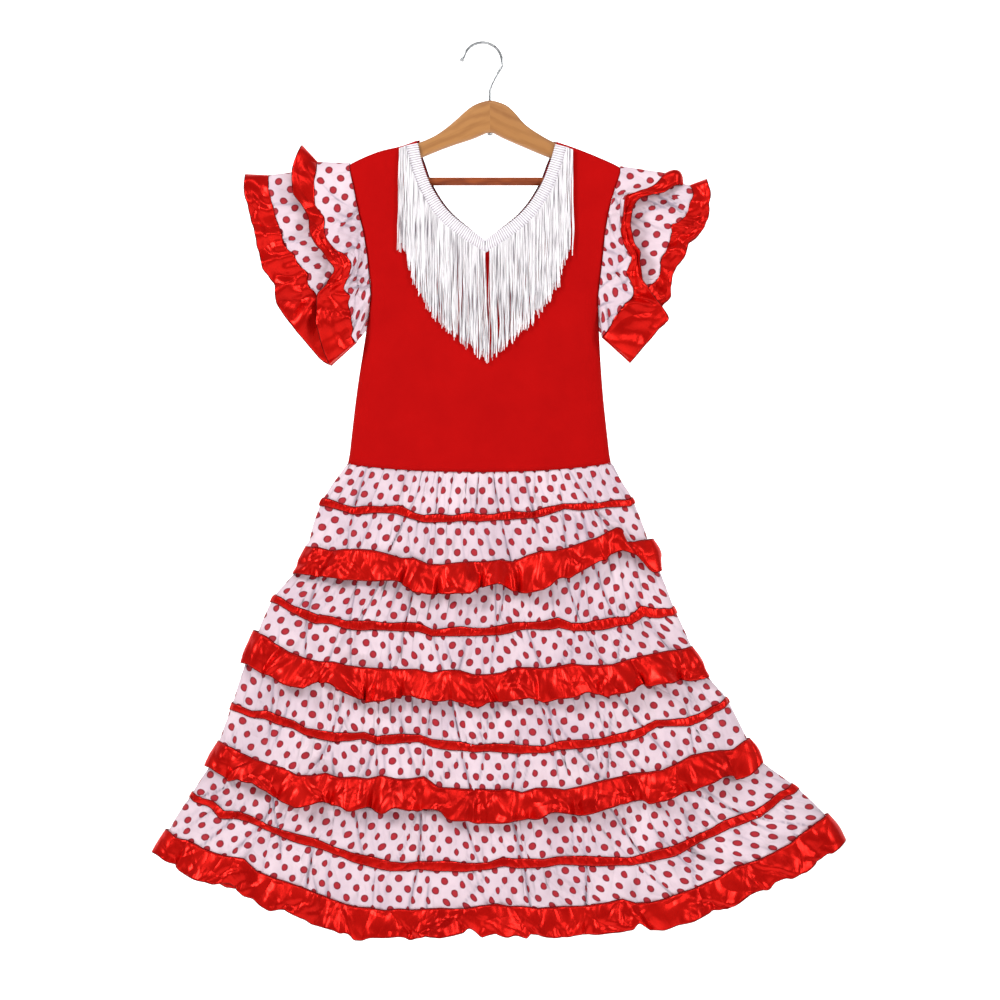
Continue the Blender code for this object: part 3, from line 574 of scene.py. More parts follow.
# Main folds of each tier as the front shows them, and as many on the back
tierFolds = {
    1: [
        Crease(0.055, 0.03, -0.1, 0.55, 2.2, 2.2, 5),
        Crease(0.13, -0.05, 0.1, 0.9, 1.8, 2.0, 4),
        Crease(0.185, 0.02, -0.1, 0.5, 1.6, 1.6, 4),
        Crease(0.245, -0.01, -0.1, 0.45, 2.0, 1.7, 5),
        Crease(0.29, 0.03, -0.1, 1.1, 1.8, 1.8, 4),
        Crease(0.335, -0.04, 0.0, 0.6, 1.6, 1.6, 4),
        Crease(0.385, -0.02, 0.2, 1.1, 2.0, 2.0, 5),
        Crease(0.44, 0.05, 0.0, 0.8, 1.8, 2.2, 4),
        Crease(0.57, -0.04, -0.1, 0.7, 2.0, 2.0, 5),
        Crease(0.66, 0.03, 0.1, 1.1, 1.8, 2.0, 4),
        Crease(0.745, -0.02, -0.1, 0.6, 2.0, 1.8, 5),
        Crease(0.83, 0.04, 0.0, 0.9, 1.8, 2.0, 4),
        Crease(0.92, -0.03, -0.1, 0.5, 1.8, 2.0, 4),
    ],
    2: [
        Crease(0.05, 0.03, 0.0, 0.7, 2.0, 2.2, 4),
        Crease(0.11, -0.02, 0.0, 0.5, 1.8, 1.8, 5),
        Crease(0.165, 0.0, -0.1, 0.6, 2.4, 2.0, 6),
        Crease(0.205, 0.04, 0.35, 1.1, 1.8, 2.0, 4),
        Crease(0.275, -0.03, -0.1, 0.7, 2.0, 1.8, 5),
        Crease(0.32, 0.03, 0.3, 1.1, 2.2, 2.0, 5),
        Crease(0.37, -0.05, -0.1, 0.8, 1.8, 2.0, 5),
        Crease(0.43, 0.05, -0.1, 0.6, 2.0, 2.0, 5),
        Crease(0.465, 0.03, 0.2, 1.1, 1.6, 2.2, 4),
        Crease(0.56, -0.03, 0.1, 0.9, 2.0, 2.0, 5),
        Crease(0.635, 0.02, -0.1, 0.7, 2.0, 1.8, 5),
        Crease(0.72, -0.03, 0.2, 1.1, 2.0, 2.0, 5),
        Crease(0.80, 0.04, -0.1, 0.8, 2.0, 2.0, 5),
        Crease(0.89, -0.02, 0.0, 0.7, 1.8, 2.0, 4),
    ],
    3: [
        Crease(0.045, 0.02, 0.0, 0.6, 2.0, 2.2, 4),
        Crease(0.10, -0.03, -0.1, 0.7, 2.0, 2.0, 5),
        Crease(0.15, 0.02, 0.3, 1.1, 1.8, 2.0, 4),
        Crease(0.195, -0.02, -0.1, 0.6, 2.2, 1.8, 5),
        Crease(0.235, 0.02, -0.1, 1.1, 2.4, 2.0, 6),
        Crease(0.285, -0.03, 0.3, 1.1, 2.0, 1.8, 5),
        Crease(0.33, 0.03, -0.1, 0.6, 1.8, 1.8, 5),
        Crease(0.375, -0.04, 0.2, 1.1, 2.0, 2.0, 5),
        Crease(0.42, 0.05, -0.1, 0.7, 2.2, 2.2, 5),
        Crease(0.455, -0.03, 0.3, 0.9, 1.8, 2.2, 5),
        Crease(0.545, 0.03, -0.1, 0.7, 2.0, 2.0, 5),
        Crease(0.62, -0.02, 0.2, 1.1, 2.2, 2.0, 5),
        Crease(0.70, 0.03, -0.1, 0.7, 2.0, 2.0, 5),
        Crease(0.775, -0.03, 0.1, 1.1, 2.2, 2.0, 5),
        Crease(0.85, 0.02, -0.1, 0.7, 2.0, 2.0, 5),
        Crease(0.93, 0.02, 0.2, 0.9, 1.8, 2.0, 4),
    ],
    4: [
        Crease(0.06, -0.02, 0.1, 0.9, 2.0, 2.4, 4),
        Crease(0.105, 0.01, 0.35, 1.1, 2.6, 2.2, 6),
        Crease(0.145, 0.02, -0.1, 0.6, 2.0, 2.0, 5),
        Crease(0.19, -0.01, -0.1, 1.1, 2.6, 2.0, 6),
        Crease(0.24, 0.015, -0.1, 0.6, 2.0, 2.0, 5),
        Crease(0.275, 0.0, -0.1, 1.1, 2.6, 2.2, 6),
        Crease(0.325, -0.02, 0.3, 1.1, 2.0, 2.0, 5),
        Crease(0.37, 0.02, -0.1, 0.7, 2.2, 2.0, 5),
        Crease(0.41, -0.03, 0.2, 1.1, 2.0, 2.2, 5),
        Crease(0.455, 0.03, 0.0, 0.8, 2.0, 2.4, 4),
        Crease(0.55, -0.02, -0.1, 0.7, 2.2, 2.2, 5),
        Crease(0.62, 0.02, 0.2, 1.1, 2.4, 2.2, 5),
        Crease(0.69, -0.02, -0.1, 1.1, 2.4, 2.0, 6),
        Crease(0.76, 0.02, 0.3, 1.1, 2.0, 2.2, 5),
        Crease(0.84, -0.02, -0.1, 0.7, 2.2, 2.2, 5),
        Crease(0.92, 0.02, 0.2, 1.1, 2.0, 2.2, 4),
    ],
}


def scaledCreases(creases):
    # The tables give depth, width and hidden cloth in millimetres
    return [c._replace(depth=c.depth * mm, width=c.width * mm, hidden=1.5 * c.hidden * mm) for c in creases]


# Where the front's ruffles begin and end: x, head and hem in millimetres
ruffleLines = {
    1: [
        (-203, -566, -597), (-186, -567, -601), (-170, -572, -604), (-154, -570, -605),
        (-139, -570, -606), (-123, -571, -606), (-107, -575, -606), (-91, -580, -607),
        (-76, -580, -618), (-60, -587, -621), (-44, -587, -621), (-28, -585, -620), (-13, -584, -621),
        (3, -584, -611), (19, -582, -608), (34, -584, -619), (50, -577, -619), (66, -572, -615),
        (81, -572, -608), (97, -568, -602), (113, -562, -594), (129, -557, -586), (142, -550, -577),
        (150, -546, -574), (156, -548, -573), (161, -562, -575), (170, -562, -579), (179, -560, -584),
        (187, -559, -593), (195, -566, -600),
    ],
    2: [
        (-263, -669, -702), (-247, -664, -711), (-231, -677, -717), (-215, -686, -723),
        (-199, -692, -727), (-183, -696, -718), (-167, -696, -722), (-152, -700, -731),
        (-136, -702, -741), (-120, -703, -737), (-104, -704, -738), (-89, -704, -737),
        (-73, -704, -737), (-57, -708, -737), (-42, -705, -740), (-26, -705, -739), (-10, -710, -744),
        (5, -710, -744), (21, -708, -741), (37, -702, -738), (52, -702, -737), (68, -703, -742),
        (84, -701, -736), (99, -698, -735), (115, -700, -733), (131, -700, -733), (146, -699, -734),
        (162, -694, -730), (178, -690, -723), (194, -687, -721), (210, -684, -721), (226, -683, -718),
        (242, -693, -717),
    ],
    3: [
        (-303, -793, -815), (-286, -791, -832), (-270, -799, -828), (-254, -806, -831),
        (-238, -811, -845), (-222, -815, -852), (-206, -823, -856), (-190, -823, -854),
        (-175, -820, -855), (-159, -825, -858), (-143, -824, -860), (-128, -826, -858),
        (-112, -822, -862), (-96, -826, -860), (-81, -826, -864), (-65, -823, -860), (-49, -835, -864),
        (-34, -836, -868), (-18, -837, -872), (-3, -837, -875), (13, -838, -875), (29, -837, -874),
        (44, -841, -872), (60, -836, -868), (76, -836, -864), (91, -838, -866), (107, -835, -867),
        (122, -831, -864), (138, -827, -858), (154, -824, -854), (169, -820, -853), (185, -819, -852),
        (201, -817, -850), (217, -810, -845), (233, -801, -840), (248, -798, -834), (264, -796, -827),
        (281, -796, -828), (297, -789, -828),
    ],
    4: [
        (-364, -897, -919), (-347, -897, -926), (-331, -896, -934), (-314, -905, -940),
        (-298, -911, -945), (-282, -914, -945), (-266, -916, -958), (-251, -930, -963),
        (-235, -936, -972), (-219, -941, -971), (-203, -946, -982), (-188, -952, -988),
        (-172, -958, -992), (-156, -964, -998), (-141, -968, -1002), (-125, -969, -1003),
        (-109, -972, -1003), (-94, -970, -1002), (-78, -971, -1004), (-63, -970, -999),
        (-47, -969, -1000), (-31, -970, -998), (-16, -969, -994), (0, -966, -1000), (15, -964, -994),
        (31, -967, -1000), (46, -967, -1001), (62, -969, -1000), (78, -968, -1001), (93, -967, -1001),
        (109, -967, -999), (124, -965, -998), (140, -963, -996), (156, -959, -994), (171, -964, -988),
        (187, -963, -995), (202, -960, -994), (218, -954, -988), (234, -949, -984), (250, -942, -976),
        (265, -936, -974), (281, -925, -966), (297, -921, -955), (313, -916, -950), (329, -908, -945),
        (345, -900, -939), (361, -887, -932), (377, -874, -920), (394, -878, -908),
    ],
}

# Ruffles on the back: lifted or dropped by their place from the left end (-1) to the right (1)
Event = namedtuple("Event", "side width head hem")
ruffleEvents = {
    1: [
        Event(-0.83, 0.05, 1, 2),
        Event(-0.47, 0.07, 3, -1),
        Event(-0.30, 0.06, 0, 5),
        Event(-0.12, 0.10, 0, -5),
        Event(0.02, 0.04, 0, 6),
        Event(0.17, 0.07, 0, -4),
        Event(0.60, 0.13, 4, 8),
        Event(0.72, 0.06, 6, 12),
        Event(0.93, 0.06, -3, -4),
    ],
    2: [
        Event(-0.86, 0.06, 0, -3),
        Event(-0.56, 0.10, -3, -4),
        Event(-0.40, 0.05, 0, 5),
        Event(-0.05, 0.08, 0, -3),
        Event(0.22, 0.05, 0, 4),
        Event(0.55, 0.08, 0, -4),
        Event(0.90, 0.06, 0, 4),
    ],
    3: [
        Event(-0.80, 0.05, 0, -4),
        Event(-0.55, 0.06, 0, 4),
        Event(-0.25, 0.06, 3, 4),
        Event(0.05, 0.08, -2, -5),
        Event(0.35, 0.05, 0, 4),
        Event(0.62, 0.06, 0, -3),
        Event(0.88, 0.05, 3, 5),
    ],
    4: [
        Event(-0.88, 0.06, 0, 3),
        Event(-0.66, 0.035, 0, 7),
        Event(-0.60, 0.05, 0, -7),
        Event(-0.50, 0.03, 0, 5),
        Event(-0.28, 0.06, 0, -3),
        Event(0.03, 0.04, 0, 9),
        Event(0.28, 0.05, 0, 4),
        Event(0.45, 0.05, 0, -6),
        Event(0.75, 0.06, 0, -4),
    ],
}
ruffleLook = {"columns": (700, 780, 860, 860), "rows": 15, "lean": 5.5 * mm, "hemRise": 3.2 * mm, "thickness": 0.6 * mm, "hemSteps": 30, "stepHeight": 2.6 * mm}
ruffleLook["seamUnder"] = {1: 8, 2: 8, 3: 2}
# Where the front's ribbons run: x and middle in millimetres
ribbonLines = {
    1: [
        (-176, -517.5), (-160, -523.5), (-145, -527), (-129, -526), (-113, -526), (-97, -526),
        (-81, -532), (-66, -536.5), (-50, -535.5), (-34, -536.5), (-18, -534), (-3, -535.5),
        (13, -534.5), (29, -533), (44, -532), (60, -531), (76, -526.5), (92, -521.5), (107, -523),
        (123, -522.5), (139, -520), (155, -519),
    ],
    2: [
        (-230, -628.5), (-214, -637), (-198, -643), (-182, -649), (-167, -650), (-151, -654.5),
        (-135, -655.5), (-119, -655.5), (-103, -657), (-88, -657), (-72, -658), (-56, -664),
        (-41, -663), (-25, -662), (-9, -663), (6, -662.5), (22, -661), (38, -657), (53, -656.5),
        (69, -656.5), (85, -653.5), (100, -657.5), (116, -656.5), (132, -654.5), (148, -651),
        (164, -649.5), (179, -640), (195, -642.5),
    ],
    3: [
        (-277, -749), (-260, -756.5), (-244, -756.5), (-228, -763), (-212, -767), (-196, -775.5),
        (-181, -778.5), (-165, -781), (-149, -780.5), (-133, -778.5), (-118, -784), (-102, -783),
        (-86, -782.5), (-71, -782), (-55, -787.5), (-39, -789.5), (-24, -790), (-8, -792.5),
        (7, -791.5), (23, -792.5), (39, -793.5), (54, -793.5), (70, -794), (86, -789.5), (101, -788.5),
        (117, -787.5), (133, -785.5), (148, -782), (164, -779.5), (180, -774.5), (196, -765),
        (211, -765), (227, -765), (243, -760), (259, -751.5),
    ],
    4: [
        (-323, -853), (-306, -855), (-290, -869), (-274, -867.5), (-258, -873), (-242, -880.5),
        (-226, -887), (-210, -892.5), (-195, -896), (-179, -900.5), (-163, -907), (-148, -912),
        (-132, -916.5), (-116, -919), (-101, -922.5), (-85, -923.5), (-69, -922), (-54, -923),
        (-38, -923), (-23, -924), (-7, -924), (9, -923), (24, -919), (40, -920.5), (55, -920),
        (71, -920.5), (87, -918), (102, -917.5), (118, -917.5), (133, -918), (149, -918), (165, -918),
        (180, -914.5), (196, -910.5), (212, -907), (228, -900), (243, -893), (259, -886.5),
        (275, -878), (291, -872.5), (307, -867), (323, -857), (339, -844.5),
    ],
}


def frontShare(points, halfDepth):
    # 1 on the front, 0 on the back, with a soft change near the ends
    return easeIn(-points[:, 1] / (halfDepth * mm), 0.12, 0.45)


def tableValue(table, x, column):
    return np.interp(x / mm, [row[0] for row in table], [row[column] for row in table]) * mm


def eventLift(events, side, field):
    total = np.zeros_like(side)
    for event in events:
        total += getattr(event, field) * mm * np.exp(-(((side + event.side * 0.93 - 0.04) / event.width) ** 2))
    return total


class RuffleEdges:
    # Where one ruffle starts and ends, round the whole skirt

    def __init__(self, number, columns):
        tier = skirtTiers[number - 1]
        self.last = tier.ruffle is None
        self.head = skirtLevels[tier.bottom if self.last else tier.ruffle]
        self.foot = skirtLevels["hem" if self.last else tier.bottom]
        self.size = perimeter(self.foot)
        rng = np.random.default_rng(300 + number)
        each = rng.uniform(0.55, 1.35, tier.waves + 2)
        strength, phase = gatherWave(tier.waves, number + 0.5, columns)
        strength = strength * np.interp(phase / (2 * math.pi) % tier.waves, np.arange(tier.waves + 2), each)
        self.strength, self.phase = strength, phase
        self.headPoints, self.headOut, side = onRing(self.head, columns, self.head)
        hemShare = columns + ruffleLook["lean"] * np.sin(phase) * strength / self.size
        self.footPoints, self.footOut, hemSide = onRing(self.foot, hemShare, self.foot)
        seenHead = frontShare(self.headPoints, self.head.halfDepth)
        seenHem = frontShare(self.footPoints, self.foot.halfDepth)
        lines, events = ruffleLines[number], ruffleEvents[number]
        headZ, hemZ = self.headPoints[:, 2], self.footPoints[:, 2]
        headZ += (1 - seenHead) * eventLift(events, side, "head")
        headZ += seenHead * (tableValue(lines, self.headPoints[:, 0], 1) - headZ)
        rise = ruffleLook["hemRise"] * strength * np.sin(phase)
        hemZ += eventLift(events, hemSide, "hem") + rise - tier.drop * mm
        hemZ += seenHem * (tableValue(lines, self.footPoints[:, 0], 2) + 0.3 * rise - hemZ)
        for _ in range(ruffleLook["hemSteps"] + 5 * number):
            place, size, width = rng.uniform(0, 1), rng.uniform(-1, 1), rng.uniform(2.2, 4.5) * mm
            off = ((columns - place + 0.5) % 1 - 0.5) * self.size / width
            hemZ += ruffleLook["stepHeight"] * size * np.tanh(off) * np.exp(-((off / 5) ** 2))


def seamRise(number):
    # How far the seam below a tier is raised, so that the ruffle hides it
    share = np.linspace(0, 1, 721)[:-1]
    edges = RuffleEdges(number, share)
    seam, _, _ = onRing(edges.foot, share, edges.foot)
    wanted = np.maximum(0, edges.footPoints[:, 2] + ruffleLook["seamUnder"][number] * mm - seam[:, 2])
    wanted = np.max([np.roll(wanted, k) for k in range(-9, 10)], axis=0)
    kernel = np.hanning(23) / np.hanning(23).sum()
    soft = np.convolve(np.concatenate([wanted[-30:], wanted, wanted[:30]]), kernel, "same")[30:-30]
    return np.concatenate([share, [1.0]]), np.concatenate([soft, soft[:1]])


def hemFall():
    # The last tier's cloth ends just under the head of the last ruffle
    share = np.linspace(0, 1, 721)[:-1]
    edges = RuffleEdges(4, share)
    ring, _, _ = onRing(edges.head, share, edges.head)
    wanted = edges.headPoints[:, 2] - 3 * mm - ring[:, 2]
    return np.concatenate([share, [1.0]]), np.concatenate([wanted, wanted[:1]])


class TierCloth:
    # The dotted cloth of one tier, as a surface that can be read at any place

    def __init__(self, number, tier):
        self.number = number
        self.tier = tier
        names = [tier.top, tier.ribbon, tier.bottom]
        middle = [skirtLevels[name].zMiddle for name in names]
        self.names = names
        self.places = [(z - middle[0]) / (middle[-1] - middle[0]) for z in middle]
        self.size = perimeter(skirtLevels[tier.bottom])
        self.height = (middle[0] - middle[-1]) * mm
        rng = np.random.default_rng(40 + number)
        self.creases = scaledCreases(tierFolds[number])
        self.creases += addCreases(10 + number, 28 + 5 * number, 2.2 * mm, 1.6 * mm, (3.2 + 0.7 * number) * mm, lean=0.04)
        self.creases += addCreases(30 + number, 44 + 8 * number, 0.9 * mm, 1.5 * mm, 1.6 * mm, lean=0.06, short=0.15)
        folded = sum(c.hidden * min(1, c.end) for c in self.creases)
        self.cut = round((self.size * 1.03 + 0.75 * folded) / skirtLook["dotCell"]) * skirtLook["dotCell"]
        self.small = rng.uniform(0, 2 * math.pi, 6)
        self.topRise = seamRise(number - 1) if number > 1 else None
        self.footRise = seamRise(number) if number < 4 else hemFall()

    def place(self, share, down, lifted=0.0):
        level = levelAt(self.names, self.places, down)
        length = levelAt(self.names, self.places, np.array([0.5]))
        points, out, side = onRing(level, share, Level(*(float(v[0]) for v in length)))
        strength, phase = gatherWave(self.tier.gathers, self.number, share)
        window = np.interp(down, self.places, [0, 1, 0])
        swing = skirtLook["gatherSwing"] * strength * np.cos(phase) * np.sin(window * math.pi / 2)
        near = np.exp(-down / 0.24) + 0.8 * np.exp(-(1 - down) / 0.16)
        fine = self.tier.gathers * 5
        turns = fine * share + 0.48 * np.sin(2 * math.pi * 7 * share + self.small[0])
        ripple = np.cos(2 * math.pi * turns)
        ripple = ripple * (0.6 + 0.4 * np.cos(2 * math.pi * 11 * share + self.small[1]))
        swing = swing + 1.1 * mm * ripple * near * easeIn(down, 0.0, 0.03) * (1 - easeIn(down, 0.97, 1.0))
        creased, hidden = creaseField(share, down, self.creases, self.size)
        seams = easeIn(down, 0.0, 0.05) * (1 - easeIn(down, 0.95, 1.0))
        billow = 1.2 * mm * np.sin(math.pi * np.clip(down, 0, 1))
        points = points + out * (swing + creased * seams + billow + lifted)[..., None]
        if self.topRise:
            points[..., 2] += np.interp(share, *self.topRise) * np.clip(1 - down, 0, 1) ** 3
        if self.footRise:
            points[..., 2] += np.interp(share, *self.footRise) * np.clip(down, 0, 1) ** 4
        around = np.interp(down, self.places, [perimeter(skirtLevels[name]) for name in self.names])
        spare = np.clip(1 - around / (1.03 * self.size), 0, 1) * self.cut / fine
        u = self.cut * share + hidden - spare * ((turns + 0.5) % 1 - 0.5)
        v = -down * self.height * 1.04
        # Painted shade: fold is high in the crease troughs and in the gathers' hollows near the seams, and darkens the
        # cloth there
        self.fold = np.clip(-creased / (2.0 * mm), 0, 1) * seams * 0.85 + 0.3 * np.clip(-ripple, 0, 1) ** 2 * near
        return points, out, np.stack([u, v], axis=-1), side


tiers = {}
for number, tier in enumerate(skirtTiers, 1):
    cloth = TierCloth(number, tier)
    tiers[number] = cloth
    columns = placeColumns(cloth.creases, cloth.size, skirtLook["columns"][number - 1])
    share, down = np.meshgrid(columns, np.linspace(0, 1, 27))
    down = down * 0.985 + 0.008
    points, _, uv, _ = cloth.place(share, down)
    lengths = np.linalg.norm(np.diff(points, axis=0), axis=2)
    lengths = np.mean([np.roll(lengths, k, axis=1) for k in range(-8, 9)], axis=0)
    uv[1:, :, 1] = uv[:1, :, 1] - np.cumsum(lengths, axis=0)
    lastColumn = np.stack([np.full(27, cloth.cut), uv[:, 0, 1]], axis=-1)[:, None]
    lastColumn[:, 0, 0] += uv[:, 0, 0]
    uv = np.concatenate([uv, lastColumn], axis=1)
    makeSheet(f"tierCloth{number}", points, uv, True, 0.6 * mm, dottedCloth, cloth.fold)

# Ribbons: flat satin tape sewn across the folds, so it steps up and down a little
ribbonLook = {"height": 9.4 * mm, "standsOff": 1.5 * mm, "wobble": 1.2 * mm, "steps": 26, "stepHeight": 2.4}
ribbonSeams = {}
for number, cloth in tiers.items():
    rng = np.random.default_rng(70 + number)
    columns = placeColumns(cloth.creases, cloth.size, 560)
    at = cloth.places[1]
    wander = np.zeros_like(columns)
    for beat in (3, 5, 8, 13, 21, 34):
        wander += np.sin(2 * math.pi * beat * columns + rng.uniform(0, 6.28)) / beat**0.55
    for _ in range(ribbonLook["steps"]):
        place, size = rng.uniform(0, 1), rng.uniform(-1, 1) * ribbonLook["stepHeight"]
        off = ((columns - place + 0.5) % 1 - 0.5) * cloth.size / (3 * mm)
        wander += size * np.tanh(off) * np.exp(-((off / 6) ** 2))
    wander *= ribbonLook["wobble"] / 1.5
    middle = cloth.place(columns, np.full_like(columns, at))[0]
    seen = frontShare(middle, skirtLevels[cloth.tier.ribbon].halfDepth)
    drawn = middle[:, 2] - tableValue(ribbonLines[number], middle[:, 0], 1)
    wander = wander * (1 - 0.75 * seen) + drawn * seen
    across = np.linspace(-0.5, 0.5, 7)
    high = ribbonLook["height"] * (1 + 0.12 * np.sin(2 * math.pi * 17 * columns + number))
    share = np.broadcast_to(columns, (7, len(columns)))
    down = at + (wander + across[:, None] * high) / cloth.height
    crown = ribbonLook["standsOff"] + 0.5 * mm * (1 - (2 * across[:, None]) ** 2)
    pucker = 0.35 * mm * np.sin(2 * math.pi * 150 * columns + 4 * np.sin(2 * math.pi * 9 * columns))
    points, _, _, _ = cloth.place(share, down, crown + pucker)
    u = np.concatenate([columns, [1.0]]) * cloth.size
    uv = np.stack(np.broadcast_arrays(u[None, :], (-across * ribbonLook["height"])[:, None]), axis=-1)
    makeSheet(f"ribbon{number}", points, uv, True, 0.5 * mm, redSatin)
    outward = cloth.place(share, down, crown + pucker + 0.4 * mm)[0]
    ribbonSeams[number] = (outward[1], outward[5])
print("tiers and ribbons made")

ruffleSeams = {}
for number, tier in enumerate(skirtTiers, 1):
    size = RuffleEdges(number, np.linspace(0, 1, 8)).size
    creases = addCreases(200 + number, 34 + 6 * number, 3.6 * mm, 4.2 * mm, 0, lean=0.02, short=0.6)
    creases += addCreases(260 + number, 40 + 8 * number, 1.5 * mm, 2.0 * mm, 0, lean=0.03, short=0.3)
    columns = placeColumns(creases, size, ruffleLook["columns"][number - 1])
    down = np.linspace(0, 1, ruffleLook["rows"]) ** 0.9
    rows = []
    edges = RuffleEdges(number, columns)
    last, head, foot = edges.last, edges.head, edges.foot
    strength, phase = edges.strength, edges.phase
    headPoints, headOut, footPoints, footOut = edges.headPoints, edges.headOut, edges.footPoints, edges.footOut
    atEnd = footOut[:, 0] ** 2
    curl = np.clip(footOut[:, 0], 0, 1) ** 8 * (1.0 if number == 1 else 0.35)
    flare = skirtLook["lastFlare"] if last else skirtLook["ruffleFlare"]
    stand = 1.6 * mm if last else skirtLook["ruffleStandsOff"]
    for d in down:
        belly = math.sin(math.pi * d) * (2.0 if not last else 1.2) * mm
        base = headPoints + (footPoints - headPoints) * d
        out = headOut + (footOut - headOut) * d
        rise = d**1.3
        flutes = np.cos(phase) + 0.3 * np.cos(2.6 * phase + 1 + 2 * np.sin(0.37 * phase))
        swing = skirtLook["ruffleSwing"] * (1 - 0.8 * atEnd) * strength * flutes * rise
        tight = 0.9 * mm * np.cos(tier.waves * 3 * 2 * math.pi * columns + 3 * np.sin(14 * math.pi * columns))
        tight = tight * math.exp(-d / 0.3)
        creased, _ = creaseField(columns, np.full_like(columns, d), creases, size)
        creased *= (0.25 + 0.75 * d) * (1 - 0.6 * atEnd)
        amount = stand * (1 - d) + flare * d * (1 - 0.45 * atEnd) + belly + swing + tight + creased
        if not last:
            amount = np.maximum(amount, 2.2 * mm)
        amount += curl * (3.4 * math.sin(math.pi * d) - 6.5 * d**3) * mm
        points = base + out * amount[:, None]
        points[:, 2] += (3.5 * curl + 6 * curl**6) * mm * d**3
        rows.append(points)
    u = np.concatenate([columns, [1.0]]) * size
    height = (head.zMiddle - foot.zMiddle) * mm
    uv = np.stack(np.broadcast_arrays(u[None, :], (-down * height)[:, None]), axis=-1)
    makeSheet(f"ruffle{number}", np.array(rows), uv, True, ruffleLook["thickness"], redSatin)
    ruffleSeams[number] = rows[0] * 0.65 + rows[1] * 0.35 + headOut * 0.45 * mm
print("ruffles made")


# Bodice

Row = namedtuple("Row", "outerX outerZ innerX innerZ edgeDepth depth")
foldRows = [(0.15, 0), (4.2, 0), (6.9, -2.0), (7.3, -7)]
bodiceRows = {
    "left": [
        Row(-149.7, -137, -74, -110, 7.3, 7.3),
        Row(-145.5, -162, -68, -136, 8.4, 8.2),
        Row(-140, -190, -57, -164, 9.2, 9),
        Row(-134, -214, -36, -193, 9.4, 9.7),
        Row(-130, -240, 3, -223, 9.2, 10.6),
        Row(-126, -284, 2, -280, 7.4, 13),
        Row(-131.5, -327, 1, -330, 0.1, 14),
        Row(-140.5, -385, -0.5, -392, 0.1, 15),
        Row(-151, -473, -3.5, -482, 0.1, 15.5),
    ],
    "right": [
        Row(155.4, -140.5, 83.5, -111.4, 7.3, 7.3),
        Row(149, -166, 76.5, -135, 8.4, 8.2),
        Row(142, -192, 65, -163, 9.2, 9),
        Row(138, -216, 43, -193, 9.4, 9.7),
        Row(135.5, -242, 3, -223, 9.2, 10.6),
        Row(130.5, -286, 2, -280, 7.4, 13),
        Row(131.6, -327.5, 1, -330, 0.1, 14),
        Row(135, -385, -0.5, -392, 0.1, 15),
        Row(144, -472, -3.5, -482, 0.1, 15.5),
    ],
}
shoulderLine = {
    "left": [(-149.7, -137), (-140, -132), (-116, -122.2), (-90, -115.8), (-74, -110)],
    "right": [(83.5, -111.4), (104.5, -118.5), (130.5, -128.8), (148, -136.6), (155.4, -140.5)],
}
bodiceLook = {
    "rows": 66,
    "columns": 44,
    "thickness": 0.7 * mm,
    "vRow": 4,
    "knots": [0, 0.019, 0.036, 0.057, 0.121, 0.198, 0.272, 0.345, 0.467, 0.59, 0.75, 1.0],
}


def bodiceHalf(side, front, fineRows, fineAcross):
    # One half of a panel: rows run from the armhole or side to the neck or centre line
    table = bodiceRows[side]
    first = table[0]
    vRow = bodiceLook["vRow"]
    folds = len(foldRows)
    coarse = []
    lineX = [p[0] for p in shoulderLine[side]]
    lineZ = [p[1] for p in shoulderLine[side]]
    levels = [(first, depth, drop) for depth, drop in foldRows] + [(row, None, 0) for row in table[1:]]
    for number, (row, foldDepth, drop) in enumerate(levels):
        fade = max(0, 1 - max(0, number - folds + 1) / (vRow + 1))
        x = row.outerX + (row.innerX - row.outerX) * fineAcross
        rise = (1 - fineAcross) ** (2.4 if row is table[-1] else 1)
        z = row.innerZ + (row.outerZ - row.innerZ) * rise
        flatZ = first.outerZ + (first.innerZ - first.outerZ) * fineAcross
        flatX = first.outerX + (first.innerX - first.outerX) * fineAcross
        z = z + (smooth(lineX, lineZ, flatX) - flatZ) * fade + drop
        centre = table[vRow].innerX if row.innerZ > table[vRow].innerZ else row.innerX
        share = np.clip((x - row.outerX) / (centre - row.outerX), 0, 1)
        depth = row.edgeDepth + (row.depth - row.edgeDepth) * np.sqrt(1 - (1 - share) ** 2)
        if foldDepth is not None:
            depth = np.full_like(x, foldDepth)
        coarse.append(np.stack([x, -depth, z], axis=-1))
    coarse = np.array(coarse)
    knots = np.array(bodiceLook["knots"])
    tip = vRow + folds - 1  # the V's lowest row; the inner line turns sharply there
    below = np.clip(fineRows, knots[tip], 1)
    above = np.clip(fineRows, 0, knots[tip])
    points = np.empty((len(fineRows), coarse.shape[1], 3))
    for c in range(coarse.shape[1]):
        turned = fineAcross[c] ** 4
        for k in range(3):
            whole = smooth(knots, coarse[:, c, k], fineRows)
            upper = smooth(knots[: tip + 1], coarse[: tip + 1, c, k], above)
            lower = smooth(knots[tip:], coarse[tip:, c, k], below)
            split = np.where(fineRows < knots[tip], upper, lower)
            points[:, c, k] = whole * (1 - turned) + split * turned
    return points, knots


# Soft folds of the bodice: x, z, lean, length, width and height, in millimetres
Soft = namedtuple("Soft", "x z lean length width height")
bodiceFolds = [
    Soft(-118, -300, 0.25, 50, 9, 0.9),
    Soft(118, -300, -0.2, 46, 9, 0.9),
    Soft(-90, -420, 0.1, 70, 14, 0.8),
    Soft(-20, -440, -0.05, 60, 16, 0.7),
    Soft(70, -425, -0.15, 70, 15, 0.9),
    Soft(118, -400, -0.1, 60, 10, 0.8),
    Soft(-130, -390, 0.12, 50, 8, 0.8),
    Soft(30, -370, 0.1, 80, 20, 0.6),
    Soft(-112, -190, 0.15, 60, 12, 0.7),
    Soft(112, -195, -0.15, 60, 12, 0.7),
]


